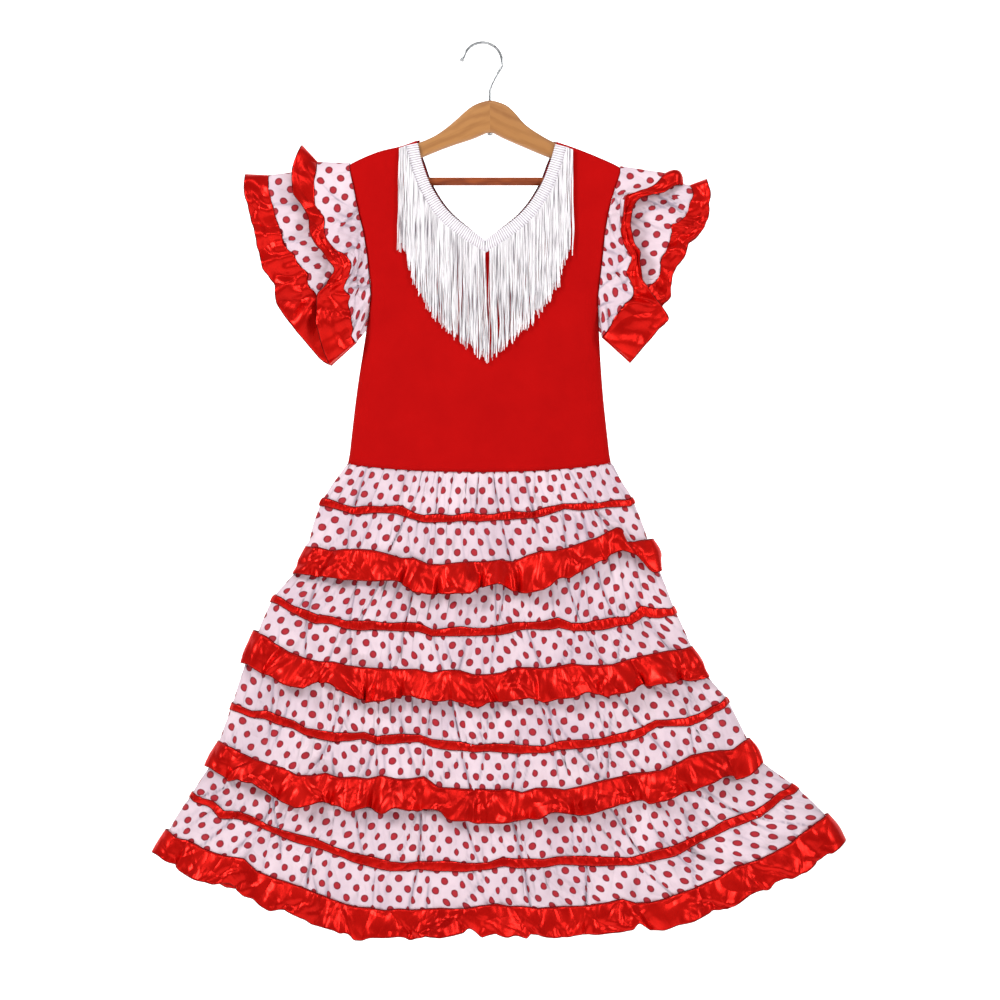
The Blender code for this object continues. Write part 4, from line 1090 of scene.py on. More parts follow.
def softFolds(points, folds, seed):
    x, z = points[..., 0] / mm, points[..., 2] / mm
    total = np.zeros_like(x)
    for fold in folds:
        across = (x - fold.x - fold.lean * (z - fold.z)) / fold.width
        along = (z - fold.z) / fold.length
        total += fold.height * np.exp(-(across**2)) * np.exp(-(along**2))
    rng = np.random.default_rng(seed)
    for _ in range(10):
        a, b, c = rng.uniform(0.01, 0.045), rng.uniform(0.004, 0.02), rng.uniform(0, 6.28)
        total += 0.12 * np.sin(a * x + b * z * rng.choice([-1, 1]) + c)
    return total * mm


bodicePoints = {}
fineRows = np.concatenate([np.linspace(0, 0.09, 12)[:-1], np.linspace(0.09, 1, bodiceLook["rows"])])
fineAcross = np.sin(np.linspace(0, 1, bodiceLook["columns"]) * math.pi / 2) * 0.25 + np.linspace(0, 1, bodiceLook["columns"]) * 0.75
for panel, front in (("bodiceFront", True), ("bodiceBack", False)):
    halves = []
    for side in ("left", "right"):
        points, knots = bodiceHalf(side, front, fineRows, fineAcross)
        points = points.copy()
        if not front:
            # The back's neck edge shows as a thin line inside the front's
            inset = 1.5 * np.exp(-(((1 - fineAcross) / 0.1) ** 2))[None, :]
            above = (1 - easeIn(fineRows, knots[7] - 0.05, knots[7] + 0.02))[:, None]
            steep = (1 - easeIn(fineRows, knots[6] - 0.02, knots[7]))[:, None]
            points[..., 0] += (2.0 if side == "left" else -2.0) * inset * steep
            points[..., 2] += 1.9 * inset * above * (1 - 0.6 * steep)
            points[..., 1] *= -1
        points = points * mm
        halves.append(points)
    left, right = halves
    for half, flip in ((left, 1), (right, -1)):
        outSign = -1 if front else 1
        ease = easeIn(fineRows, 0.06, 0.2) * (1 - easeIn(fineRows, 0.97, 1.0))
        edge = easeIn(fineAcross, 0.0, 0.08)
        half[..., 1] += outSign * softFolds(half, bodiceFolds, 5 if front else 6) * ease[:, None] * edge[None, :]
        waist = easeIn(fineRows, 0.975, 1.0)[:, None]
        half[..., 2] -= 1.7 * mm * waist
        half[..., 1] += outSign * 1.1 * mm * waist * edge[None, :]
        half[..., 0] += flip * -1.0 * mm * waist * (1 - fineAcross)[None, :] ** 6
    bodicePoints[panel] = (left, right)
    for label, half in (("Left", left), ("Right", right)):
        uv = np.stack([half[..., 0], half[..., 2]], axis=-1)
        makeSheet(f"{panel}{label}", half, uv, False, 0, redJersey)
    pieces = [finished.pop(f"{panel}{label}") for label in ("Left", "Right")]
    mesh = bmesh.new()
    for piece in pieces:
        mesh.from_mesh(piece.data)
    bmesh.ops.remove_doubles(mesh, verts=mesh.verts, dist=0.00003)
    bmesh.ops.recalc_face_normals(mesh, faces=mesh.faces)
    joinedMesh = bpy.data.meshes.new(panel)
    mesh.to_mesh(joinedMesh)
    mesh.free()
    for piece in pieces:
        bpy.data.objects.remove(piece)
    joinedMesh.materials.append(redJersey)
    joinedMesh.shade_smooth()
    joined = bpy.data.objects.new(panel, joinedMesh)
    bpy.context.scene.collection.objects.link(joined)
    wall = joined.modifiers.new("cloth", "SOLIDIFY")
    wall.thickness = bodiceLook["thickness"]
    wall.offset = 0
    finished[panel] = joined
print("bodice made")


# Sleeves

# Where the sleeves' crops lie in the photograph, in its pixels; hookX, hookY is the inside top of the hook
photoLook = {"mmPerPixel": 1.13, "hookX": 482.5, "hookY": 44}
# Each flounce's seam and hem, read as pixels of an enlarged crop of the photograph
sleeveCrops = {"left": (230, 140, 6), "right": (585, 150, 6.43)}  # the crop's corner in the photograph, and its scale
sleeveBreaks = {"left": {"under": [0.75], "over": [0.22, 0.68]}, "right": {"under": [0.36, 0.78], "over": [0.25, 0.66]}}
sleeveLines = {
    "left": {
        "under": [
            [(235, 212), (238, 300), (262, 400), (290, 490), (320, 580), (345, 655), (385, 690), (430, 765),
             (468, 800), (480, 880), (515, 920)],
            [(515, 920), (560, 1000), (620, 1100), (700, 1160), (755, 1215)],
        ],
        "underHem": [
            [(92, 205), (88, 262), (93, 335), (113, 405), (140, 510), (163, 600), (183, 700), (200, 765),
             (240, 830), (275, 890), (283, 960), (300, 1020)],
            [(300, 1020), (345, 1080), (400, 1145), (450, 1210), (500, 1270), (560, 1330), (600, 1352)],
        ],
        "over": [
            [(525, 132), (520, 200), (510, 260), (514, 330), (515, 395)],
            [(515, 395), (545, 435), (575, 485), (570, 560), (600, 620), (640, 665), (700, 700), (730, 745),
             (725, 810), (700, 870), (692, 900)],
            [(692, 900), (728, 945), (716, 985), (730, 1040), (735, 1100), (742, 1130), (735, 1180), (755, 1215)],
        ],
        "overHem": [
            [(432, 30), (403, 95), (380, 180), (380, 265), (388, 335), (440, 410)],
            [(440, 410), (475, 470), (487, 540), (490, 590), (520, 640), (560, 680), (602, 740), (630, 790),
             (600, 840), (575, 890), (535, 935)],
            [(535, 935), (525, 1000), (520, 1080), (540, 1170), (560, 1260), (600, 1352)],
        ],
    },
    "right": {
        "under": [
            [(670, 228), (690, 285), (670, 350), (640, 430), (600, 470), (548, 495)],
            [(548, 495), (550, 540), (520, 640), (483, 720), (478, 790), (460, 840), (400, 893)],
            [(400, 893), (350, 970), (290, 1060), (220, 1150), (150, 1225)],
        ],
        "underHem": [
            [(782, 185), (790, 230), (805, 290), (790, 370), (788, 440), (740, 535)],
            [(740, 535), (660, 620), (640, 680), (600, 740), (560, 820), (545, 880), (545, 960), (495, 1005)],
            [(495, 1005), (470, 1090), (420, 1180), (360, 1260), (280, 1345)],
        ],
        "over": [
            [(520, 148), (430, 240), (340, 275), (255, 315)],
            [(255, 315), (245, 370), (240, 430), (225, 530), (235, 590), (265, 660), (298, 710), (275, 760),
             (260, 795), (285, 850), (300, 895)],
            [(300, 895), (305, 935), (250, 1000), (190, 1080), (130, 1180), (110, 1200)],
        ],
        "overHem": [
            [(632, 232), (570, 240), (500, 285), (420, 305), (325, 345)],
            [(325, 345), (300, 400), (292, 460), (298, 540), (315, 620), (345, 665), (352, 720), (358, 790),
             (368, 850), (395, 893)],
            [(395, 893), (450, 965), (492, 1015), (530, 1095), (480, 1145), (430, 1210), (360, 1290), (295, 1365)],
        ],
    },
}


def sleevePlaces(side, name):
    # Share of the way down, x and z in millimetres; the stretches between the breaks follow each other
    cornerX, cornerY, zoom = sleeveCrops[side]
    breaks = [0, *sleeveBreaks[side][name.replace("Hem", "")], 1]
    rows = []
    for stretch, start, end in zip(sleeveLines[side][name], breaks, breaks[1:]):
        spots = np.array(stretch, float)
        x = (cornerX + spots[:, 0] / zoom - photoLook["hookX"]) * photoLook["mmPerPixel"]
        z = -(cornerY + spots[:, 1] / zoom - photoLook["hookY"]) * photoLook["mmPerPixel"]
        run = np.concatenate([[0], np.cumsum(np.hypot(np.diff(x), np.diff(z)))])
        down = start + (end - start) * run / run[-1]
        places = [(round(float(d), 3), round(float(a), 1), round(float(b), 1)) for d, a, b in zip(down, x, z)]
        rows += places[1:] if rows else places
    return rows


sleeveLook = {"ripple": 0.6, "crumple": 2.0, "hidden": 4.5, "waves": 6, "swing": 3.4, "overDepths": (16.5, 21, 27), "underDepths": (12.5, 17, 21), "standsOff": 2.2}
armholeKnots = [0, 0.012, 0.03, 0.06, 0.15, 0.3, 0.43, 0.56, 0.8, 1]


def armhole(side, down):
    table = bodiceRows[side][:7]
    x = [table[0].outerX] * 4 + [row.outerX for row in table[1:]]
    z = [table[0].outerZ + drop for _, drop in foldRows] + [row.outerZ for row in table[1:]]
    depth = [depth for depth, _ in foldRows] + [row.edgeDepth for row in table[1:]]
    depth[0] = depth[-1] = 0
    return tuple(np.interp(down, armholeKnots, values) for values in (x, z, depth))


def roundness(down, endShare):
    closing = (1 - np.abs(2 * down - 1) ** 2.5) ** 0.4
    return np.where(down < 0.5, closing, np.maximum(closing, endShare))


def flounceEdge(side, name, down):
    knots, x, z = zip(*sleevePlaces(side, name))
    return [smooth(knots, x, down), smooth(knots, z, down)]


def sleeveGrid(side, over, edging, seed):
    # Points of one flounce's cloth or satin edging, front and back as one surface
    layer = "over" if over else "under"
    depths = sleeveLook[f"{layer}Depths"]
    endShare = 0.72 if over else 0
    outward = -1 if side == "left" else 1
    count = 121
    down = np.linspace(0, 1, count)
    down = 0.6 * down + 0.2 * (1 - np.cos(math.pi * down))
    edgeX, edgeZ = flounceEdge(side, layer, down)
    shape = roundness(down, endShare)
    beat = 5.4 if over else 6.7
    ripple = sleeveLook["ripple"] * np.sin(2 * math.pi * beat * down + len(side)) * np.sin(math.pi * down) ** 0.5
    ripple += 0.5 * sleeveLook["ripple"] * np.sin(2 * math.pi * 2.3 * beat * down + 1) * np.sin(math.pi * down)
    toHem = np.stack(flounceEdge(side, f"{layer}Hem", down), axis=-1) - np.stack([edgeX, edgeZ], axis=-1)
    toHem /= np.linalg.norm(toHem, axis=1)[:, None]
    edgeX = edgeX + 0.45 * ripple * toHem[:, 0]
    edgeZ = edgeZ + 0.45 * ripple * toHem[:, 1]
    if edging:
        hemX, hemZ = flounceEdge(side, f"{layer}Hem", down)
        hemX = hemX + ripple * toHem[:, 0]
        hemZ = hemZ + ripple * toHem[:, 1]
        start = np.stack([edgeX, depths[1] * shape, edgeZ], axis=-1)
        end = np.stack([hemX, depths[2] * shape, hemZ], axis=-1)
        run = end - start
        run[:, 1] = 0
        run /= np.linalg.norm(run, axis=1)[:, None]
        start = start - run * 0.3
        middle = None
    else:
        armDown = down * (0.93 if over else 0.985)
        armX, armZ, armDepth = armhole(side, armDown)
        if over:
            armDepth = armDepth + sleeveLook["standsOff"] * np.minimum(1, down / 0.1)
            armZ = armZ + sleeveLook["standsOff"] * np.maximum(0, 1 - down / 0.1)
        else:
            armDepth[-1] = 0
        start = np.stack([armX + outward * 0.2, armDepth, armZ], axis=-1)
        end = np.stack([edgeX, depths[1] * shape, edgeZ], axis=-1)
        middle = np.stack([0.5 * (start[:, 0] + edgeX), depths[0] * shape, 0.5 * (start[:, 2] + edgeZ)], axis=-1)
    rows = 26 if not edging else 14
    crumples = np.random.default_rng(seed + 7).uniform(0, 1, (16, 5))
    creases = addCreases(seed, 10, 3.0 if edging else 1.6, 6.0 if edging else 2.4, 0, lean=0.3, short=0.45)
    sheets, shifts, folds = [], [], []
    for face in (-1, 1):
        rng = np.random.default_rng(seed + 3 + face)
        offset = rng.uniform(0, 6.28)
        grid, hiddenRows, creaseShadeRows = [], [], []
        for t in np.linspace(0, 1, rows):
            if middle is None:
                row = start + (end - start) * t
                if over and side == "right":
                    bulge = 4 * t * (1 - t) * np.exp(-((down / 0.04) ** 2))
                    row = row + bulge[:, None] * np.array([5.5, 0, 9.5])
            else:
                a, b = 2 * (t - 0.5) * (t - 1), 2 * t * (t - 0.5)
                row = start * a + middle * (4 * t * (1 - t)) + end * b
            wave = np.cos(2 * math.pi * sleeveLook["waves"] * down) * np.sin(math.pi * down) ** 0.5
            extra = np.cos(2 * math.pi * (sleeveLook["waves"] * 2.3) * down + offset) * np.sin(math.pi * down)
            if edging:
                amount = sleeveLook["swing"] * wave * t + 1.0 * extra * math.sin(math.pi * min(t + 0.25, 1))
            else:
                amount = 0.9 * extra * math.sin(math.pi * t)
            creased, _ = creaseField(down, np.full_like(down, t), creases, 200, closed=False)
            amount = amount + creased * np.sin(math.pi * down) ** 0.4 * (1 if edging else math.sin(math.pi * t) ** 0.5)
            hidden, paintedCreaseShade = np.zeros_like(down), np.zeros_like(down)
            if not edging:
                for place, across, turn, wide, deep in crumples:
                    lean = (turn - 0.5) * 0.9
                    off = (down - place - lean * (t - across)) * 240 / (2.2 + 2 * wide)
                    reach = np.exp(-(((t - across) / (0.16 + 0.2 * wide)) ** 2)) * easeIn(down, 0.03, 0.14)
                    amount = amount - sleeveLook["crumple"] * (0.4 + deep) * reach * off * np.exp(-off * off) * 2
                    hidden = hidden + sleeveLook["hidden"] * (0.3 + deep) * reach * 0.5 * np.tanh(2.5 * off) * np.exp(-((off / 5) ** 2))
                    # Painted shade along each crumple's line, kept as the fold attribute
                    paintedCreaseShade = paintedCreaseShade + 0.9 * reach * np.exp(-4 * off * off)
            row = row.copy()
            row[:, 1] = face * (row[:, 1] + amount * (shape > 0.05))
            grid.append(row)
            hiddenRows.append(hidden * (face if over else -face))
            creaseShadeRows.append(paintedCreaseShade)
        sheets.append(np.array(grid))
        shifts.append(np.array(hiddenRows))
        folds.append(np.array(creaseShadeRows))

    def wrapped(front, back):
        if over:
            return np.concatenate([front[:, ::-1], back[:, 1:]], axis=1)
        return np.concatenate([front, back[:, ::-1][:, 1:-1]], axis=1)

    whole, shift, fold = wrapped(*sheets), wrapped(*shifts), wrapped(*folds)
    # The pattern follows the cloth's real lengths: down each column, and along the row half way
    around = whole if over else np.concatenate([whole, whole[:, :1]], axis=1)
    deep = np.concatenate([np.zeros((1, around.shape[1])), np.cumsum(np.linalg.norm(np.diff(around, axis=0), axis=2), axis=0)])
    half = np.linalg.norm(np.diff(around[rows // 2], axis=0), axis=1)
    run = np.concatenate([[0], np.cumsum(half)])
    if not over:
        shift = np.concatenate([shift, shift[:, :1]], axis=1)
    uv = np.stack([run + shift, deep], axis=-1)
    return whole * mm, uv * mm, not over, fold


for side in ("left", "right"):
    for over in (False, True):
        for edging in (False, True):
            seed = 500 + 40 * (side == "right") + 20 * over + 10 * edging
            points, uv, closed, fold = sleeveGrid(side, over, edging, seed)
            name = f"sleeve{side.title()}{'Over' if over else 'Under'}{'Edging' if edging else 'Cloth'}"
            makeSheet(name, points, uv, closed, 0.6 * mm, sleeveSatin if edging else dottedCloth, fold)
print("sleeves made")


# Hanger

Station = namedtuple("Station", "x top bottom")
hangerArms = {
    "left": [
        Station(8.48, -64.2, -100.6),
        Station(4.6, -64.5, -100.8),
        Station(1, -65.4, -102.4),
        Station(-12.5, -71.2, -108),
        Station(-21, -77.9, -110.8),
        Station(-31, -87, -114),
        Station(-50, -101.7, -121),
        Station(-69.5, -111, -129),
        Station(-90, -116.8, -136.8),
        Station(-116, -123.2, -146.6),
        Station(-123, -125.9, -149.2),
        Station(-123.5, -126.1, -165),
        Station(-140, -133, -165),
        Station(-143.5, -137, -161),
    ],
    "right": [
        Station(8.52, -64.2, -100.6),
        Station(12.4, -64.5, -100.8),
        Station(16, -65.4, -102.8),
        Station(29.3, -71.2, -109.3),
        Station(36.5, -77.9, -112.4),
        Station(45, -87.9, -116),
        Station(65, -102.8, -124.5),
        Station(83, -112.4, -131.5),
        Station(104.5, -119.5, -139.5),
        Station(126, -128, -148),
        Station(132.5, -130.6, -149.6),
        Station(133, -130.8, -165),
        Station(148, -137.6, -165),
        Station(151.5, -141.5, -161),
    ],
}
hangerLook = {"thickness": 12 * mm, "rounding": 3.4 * mm, "wire": 1.6 * mm, "loop": 22.1 * mm, "bar": 4.6 * mm}


def makeArm(side, material):
    # Rounded section through the stations, with a smooth curve over the top
    table = hangerArms[side]
    upper = [row for row in table if abs(row.x - 8.5) < 116]
    knots = np.array([row.x for row in upper])
    order = np.argsort(knots)
    xs = np.linspace(upper[0].x, upper[-1].x, 44)
    tops = smooth(knots[order], np.array([row.top for row in upper])[order], xs)
    bottoms = smooth(knots[order], np.array([row.bottom for row in upper])[order], xs)
    stations = list(zip(xs, tops, bottoms)) + [(row.x, row.top, row.bottom) for row in table if row not in upper]
    half, corner = hangerLook["thickness"] / 2, hangerLook["rounding"]
    points = []
    for x, top, bottom in stations:
        top, bottom = top * mm, bottom * mm
        centres = [(half - corner, top - corner), (corner - half, top - corner)]
        centres += [(corner - half, bottom + corner), (half - corner, bottom + corner)]
        for quarter, (y, z) in enumerate(centres):
            for turn in range(6):
                angle = math.radians(turn * 18) + quarter * math.pi / 2
                points.append((x * mm, y + corner * math.cos(angle), z + corner * math.sin(angle)))
    size = 24
    faces = []
    for r in range(len(stations) - 1):
        for c in range(size):
            faces.append((r * size + c, r * size + (c + 1) % size, (r + 1) * size + (c + 1) % size, (r + 1) * size + c))
    faces += [tuple(range(size)), tuple(range(len(points) - size, len(points)))]
    mesh = bpy.data.meshes.new(f"hangerArm{side.title()}")
    mesh.from_pydata(points, [], faces)
    shape = bmesh.new()
    shape.from_mesh(mesh)
    bmesh.ops.recalc_face_normals(shape, faces=shape.faces)
    shape.to_mesh(mesh)
    shape.free()
    mesh.shade_smooth()
    mesh.set_sharp_from_angle(angle=math.radians(50))
    mesh.materials.append(material)
    arm = bpy.data.objects.new(mesh.name, mesh)
    bpy.context.scene.collection.objects.link(arm)
    finished[mesh.name] = arm
    return arm


makeArm("left", beechLeft)
makeArm("right", beechRight)


def makeRod(name, path, shares, radius, material, sides=5):
    curve = bpy.data.curves.new(name, "CURVE")
    curve.dimensions = "3D"
    curve.bevel_depth = radius
    curve.bevel_resolution = sides
    curve.use_fill_caps = True
    spline = curve.splines.new("POLY")
    spline.points.add(len(path) - 1)
    for point, place, share in zip(spline.points, path, shares):
        point.co = (*place, 1)
        point.radius = share
    curve.materials.append(material)
    rod = bpy.data.objects.new(name, curve)
    bpy.context.scene.collection.objects.link(rod)
    made = applied(rod)
    made.data.shade_smooth()
    made.data.set_sharp_from_angle(angle=math.radians(50))
    return made


def makeHook():
    wire, loop = hangerLook["wire"], hangerLook["loop"]
    centreZ = wire - loop
    top = -64.2 * mm
    knots = [(8.5, top + 0.3 * mm), (8.5, top + 8 * mm), (8.8, top + 14 * mm), (11.5, top + 21 * mm), (17, top + 31 * mm)]
    knots = [(x * mm, z) for x, z in knots]
    for degrees in range(-15, 166, 15):
        angle = math.radians(degrees)
        knots.append((loop * math.cos(angle), centreZ + loop * math.sin(angle)))
    tipX, tipZ = knots[-1]
    shares = [1.0] * len(knots)
    for step, share in ((2.4, 1), (3.0, 1.5), (4.4, 1.6), (5.6, 0.9)):
        knots.append((tipX - step * 0.5 * mm, tipZ - step * 0.87 * mm))
        shares.append(share)
    at = np.arange(len(knots))
    fine = np.linspace(0, len(knots) - 1, 110)
    x = smooth(at, [k[0] for k in knots], fine)
    z = smooth(at, [k[1] for k in knots], fine)
    share = np.interp(fine, at, shares)
    makeRod("hookWire", [(a, 0, b) for a, b in zip(x, z)], share, wire, steelWire, 4)


makeHook()
barEnds = (-122.5 * mm, 132 * mm)
barPath = [(barEnds[0] + (barEnds[1] - barEnds[0]) * t, 0, -155.4 * mm) for t in np.linspace(0, 1, 24)]
barShare = [0.86] + [1.0] * 22 + [0.86]
makeRod("hangerBar", barPath, barShare, hangerLook["bar"], darkBeech, 8)
nutTop = -101.1 * mm
makeRod(
    "hangerNut",
    [(8.5 * mm, 0, nutTop - step * mm) for step in (0, 0.25, 1.2, 2.1, 2.4)],
    [0.8, 1, 1, 1, 0.75],
    3 * mm,
    steelWire,
    3,
)
print("hanger made")


# Fringe: a braid with ribs, and long threads that hang over the bodice

fringeLook = {
    "braidWidth": 14 * mm,
    "ribPitch": 2.7 * mm,
    "ribThickness": 0.85 * mm,
    "strandsEachSide": 430,
    "strandLength": 113 * mm,
    "strandRadius": 0.44 * mm,
    "seed": 4,
}
allFront = [surfaceTree(half) for half in bodicePoints["bodiceFront"]]


def frontY(x, z):
    best = 0
    for tree in allFront:
        hit = tree.ray_cast(Vector((x, -0.2, z)), Vector((0, 1, 0)))[0]
        if hit:
            best = min(best, hit.y)
    return best


def neckPath(side, along):
    table = bodiceRows[side][:5]
    knots = np.linspace(0, 1, 5)
    x = smooth(knots, [row.innerX for row in table], along) * mm
    z = smooth(knots, [row.innerZ for row in table], along) * mm
    return x, z


def braidEdges(side, count):
    outward = -1 if side == "left" else 1
    along = np.linspace(0.03, 1, count)
    neckX, neckZ = neckPath(side, along)
    slope = np.stack([np.gradient(neckX), np.gradient(neckZ)], axis=1)
    slope /= np.linalg.norm(slope, axis=1)[:, None]
    across = np.stack([slope[:, 1] * -outward, slope[:, 0] * outward], axis=1)
    mitre = np.clip((along - 0.8) / 0.2, 0, 1) ** 2
    across = across * (1 - mitre)[:, None] + np.array([0, -1]) * mitre[:, None]
    across /= np.linalg.norm(across, axis=1)[:, None]
    inner = np.stack([neckX, neckZ], axis=1)
    outer = inner + across * fringeLook["braidWidth"]
    return inner, outer


def setInput(modifier, name, value):
    for item in modifier.node_group.interface.items_tree:
        if item.item_type == "SOCKET" and item.in_out == "INPUT" and item.name == name:
            modifier[item.identifier] = value


def startTree(name, inputs):
    tree = bpy.data.node_groups.new(name, "GeometryNodeTree")
    tree.interface.new_socket("Geometry", in_out="INPUT", socket_type="NodeSocketGeometry")
    tree.interface.new_socket("Geometry", in_out="OUTPUT", socket_type="NodeSocketGeometry")
    for label, kind in inputs.items():
        tree.interface.new_socket(label, in_out="INPUT", socket_type=kind)
    given = tree.nodes.new("NodeGroupInput").outputs
    result = tree.nodes.new("NodeGroupOutput").inputs[0]
    return tree, given, result


def lineObject(name, points):
    mesh = bpy.data.meshes.new(name)
    mesh.from_pydata([tuple(p) for p in points], [(i, i + 1) for i in range(len(points) - 1)], [])
    line = bpy.data.objects.new(name, mesh)
    bpy.context.scene.collection.objects.link(line)
    return line


def strandTree():
    # Threads hung from a line, each laid over the bodice and wandering a little
    tree, given, result = startTree(
        "fringeStrands",
        {
            "Strands": "NodeSocketInt",
            "Length": "NodeSocketFloat",
            "Radius": "NodeSocketFloat",
            "Wander": "NodeSocketFloat",
            "Seed": "NodeSocketInt",
            "Bodice": "NodeSocketObject",
            "Thread": "NodeSocketMaterial",
        },
    )
    nodes, links = tree.nodes, tree.links
    edge = addNode(nodes, "GeometryNodeMeshToCurve")
    links.new(given["Geometry"], edge.inputs[0])
    roots = addNode(nodes, "GeometryNodeResampleCurve")
    links.new(edge.outputs[0], roots.inputs["Curve"])
    links.new(given["Strands"], roots.inputs["Count"])
    strand = addNode(nodes, "GeometryNodeCurvePrimitiveLine")
    strand.inputs["End"].default_value = (0, 0, -1)
    parts = addNode(nodes, "GeometryNodeResampleCurve", Count=13)
    links.new(strand.outputs[0], parts.inputs["Curve"])
    lengthen = addNode(nodes, "FunctionNodeRandomValue", {"data_type": "FLOAT"})
    lengthen.inputs[2].default_value = 0.93
    lengthen.inputs[3].default_value = 1.06
    links.new(given["Seed"], lengthen.inputs["Seed"])
    longer = addNode(nodes, "ShaderNodeMath", {"operation": "MULTIPLY"})
    links.new(lengthen.outputs[1], longer.inputs[0])
    links.new(given["Length"], longer.inputs[1])
    scale = addNode(nodes, "ShaderNodeCombineXYZ")
    scale.inputs[0].default_value = scale.inputs[1].default_value = 1
    links.new(longer.outputs[0], scale.inputs[2])
    tilt = addNode(nodes, "FunctionNodeRandomValue", {"data_type": "FLOAT_VECTOR"})
    tilt.inputs[0].default_value = (0, -0.022, 0)
    tilt.inputs[1].default_value = (0, 0.022, 0)
    links.new(given["Seed"], tilt.inputs["Seed"])
    hang = addNode(nodes, "GeometryNodeInstanceOnPoints")
    links.new(roots.outputs[0], hang.inputs["Points"])
    links.new(parts.outputs[0], hang.inputs["Instance"])
    links.new(tilt.outputs[0], hang.inputs["Rotation"])
    links.new(scale.outputs[0], hang.inputs["Scale"])
    real = addNode(nodes, "GeometryNodeRealizeInstances")
    links.new(hang.outputs[0], real.inputs[0])
    # Each thread wanders sideways more towards its tip
    down = addNode(nodes, "GeometryNodeSplineParameter")
    place = addNode(nodes, "GeometryNodeInputPosition")
    noise = addNode(nodes, "ShaderNodeTexNoise", {"noise_dimensions": "3D"}, Scale=42, Detail=2)
    squeeze = addNode(nodes, "ShaderNodeVectorMath", {"operation": "MULTIPLY"})
    squeeze.inputs[1].default_value = (6, 1, 0.55)
    links.new(place.outputs[0], squeeze.inputs[0])
    links.new(squeeze.outputs[0], noise.inputs["Vector"])
    centred = addNode(nodes, "ShaderNodeMath", {"operation": "SUBTRACT"})
    links.new(noise.outputs[0], centred.inputs[0])
    centred.inputs[1].default_value = 0.5
    grown = addNode(nodes, "ShaderNodeMath", {"operation": "MULTIPLY"})
    links.new(centred.outputs[0], grown.inputs[0])
    links.new(down.outputs["Factor"], grown.inputs[1])
    amount = addNode(nodes, "ShaderNodeMath", {"operation": "MULTIPLY"})
    links.new(grown.outputs[0], amount.inputs[0])
    links.new(given["Wander"], amount.inputs[1])
    sideways = addNode(nodes, "ShaderNodeCombineXYZ")
    links.new(amount.outputs[0], sideways.inputs[0])
    moved = addNode(nodes, "GeometryNodeSetPosition")
    links.new(real.outputs[0], moved.inputs["Geometry"])
    links.new(sideways.outputs[0], moved.inputs["Offset"])
    # Laid in front of the bodice, in layers
    bodice = addNode(nodes, "GeometryNodeObjectInfo")
    links.new(given["Bodice"], bodice.inputs[0])
    ahead = addNode(nodes, "ShaderNodeVectorMath", {"operation": "MULTIPLY"})
    ahead.inputs[1].default_value = (1, 0, 1)
    links.new(place.outputs[0], ahead.inputs[0])
    start = addNode(nodes, "ShaderNodeVectorMath", {"operation": "ADD"})
    start.inputs[1].default_value = (0, -0.2, 0)
    links.new(ahead.outputs[0], start.inputs[0])
    ray = addNode(nodes, "GeometryNodeRaycast")
    links.new(bodice.outputs["Geometry"], ray.inputs["Target Geometry"])
    links.new(start.outputs[0], ray.inputs["Source Position"])
    ray.inputs["Ray Direction"].default_value = (0, 1, 0)
    ray.inputs["Ray Length"].default_value = 0.3
    layer = addNode(nodes, "FunctionNodeRandomValue", {"data_type": "FLOAT"})
    layer.inputs[2].default_value = 0.0009
    layer.inputs[3].default_value = 0.0040
    links.new(given["Seed"], layer.inputs["Seed"])
    strandIndex = addNode(nodes, "GeometryNodeCurveOfPoint")
    links.new(strandIndex.outputs["Curve Index"], layer.inputs["ID"])
    hitParts = addNode(nodes, "ShaderNodeSeparateXYZ")
    links.new(ray.outputs["Hit Position"], hitParts.inputs[0])
    lifted = addNode(nodes, "ShaderNodeMath", {"operation": "SUBTRACT"})
    links.new(hitParts.outputs[1], lifted.inputs[0])
    links.new(layer.outputs[1], lifted.inputs[1])
    ownParts = addNode(nodes, "ShaderNodeSeparateXYZ")
    links.new(place.outputs[0], ownParts.inputs[0])
    target = addNode(nodes, "ShaderNodeCombineXYZ")
    links.new(ownParts.outputs[0], target.inputs[0])
    links.new(lifted.outputs[0], target.inputs[1])
    links.new(ownParts.outputs[2], target.inputs[2])
    laid = addNode(nodes, "GeometryNodeSetPosition")
    links.new(moved.outputs[0], laid.inputs["Geometry"])
    links.new(ray.outputs["Is Hit"], laid.inputs["Selection"])
    links.new(target.outputs[0], laid.inputs["Position"])
    thin = addNode(nodes, "FunctionNodeRandomValue", {"data_type": "FLOAT"})
    thin.inputs[2].default_value = 0.6
    thin.inputs[3].default_value = 1.15
    links.new(strandIndex.outputs["Curve Index"], thin.inputs["ID"])
    thickness = addNode(nodes, "ShaderNodeMath", {"operation": "MULTIPLY"})
    links.new(thin.outputs[1], thickness.inputs[0])
    links.new(given["Radius"], thickness.inputs[1])
    ring = addNode(nodes, "GeometryNodeCurvePrimitiveCircle", Resolution=5)
    ring.inputs["Radius"].default_value = 1.0
    sized = addNode(nodes, "GeometryNodeSetCurveRadius")
    links.new(laid.outputs[0], sized.inputs["Curve"])
    links.new(thickness.outputs[0], sized.inputs["Radius"])
    tube = addNode(nodes, "GeometryNodeCurveToMesh")
    tube.inputs["Fill Caps"].default_value = True
    links.new(sized.outputs[0], tube.inputs["Curve"])
    links.new(ring.outputs[0], tube.inputs["Profile Curve"])
    if "Scale" in tube.inputs:
        links.new(thickness.outputs[0], tube.inputs["Scale"])
    realAgain = addNode(nodes, "GeometryNodeRealizeInstances")
    links.new(tube.outputs[0], realAgain.inputs[0])
    coloured = addNode(nodes, "GeometryNodeSetMaterial")
    links.new(realAgain.outputs[0], coloured.inputs["Geometry"])
    links.new(given["Thread"], coloured.inputs["Material"])
    links.new(coloured.outputs[0], result)
    return tree


strandsTree = strandTree()


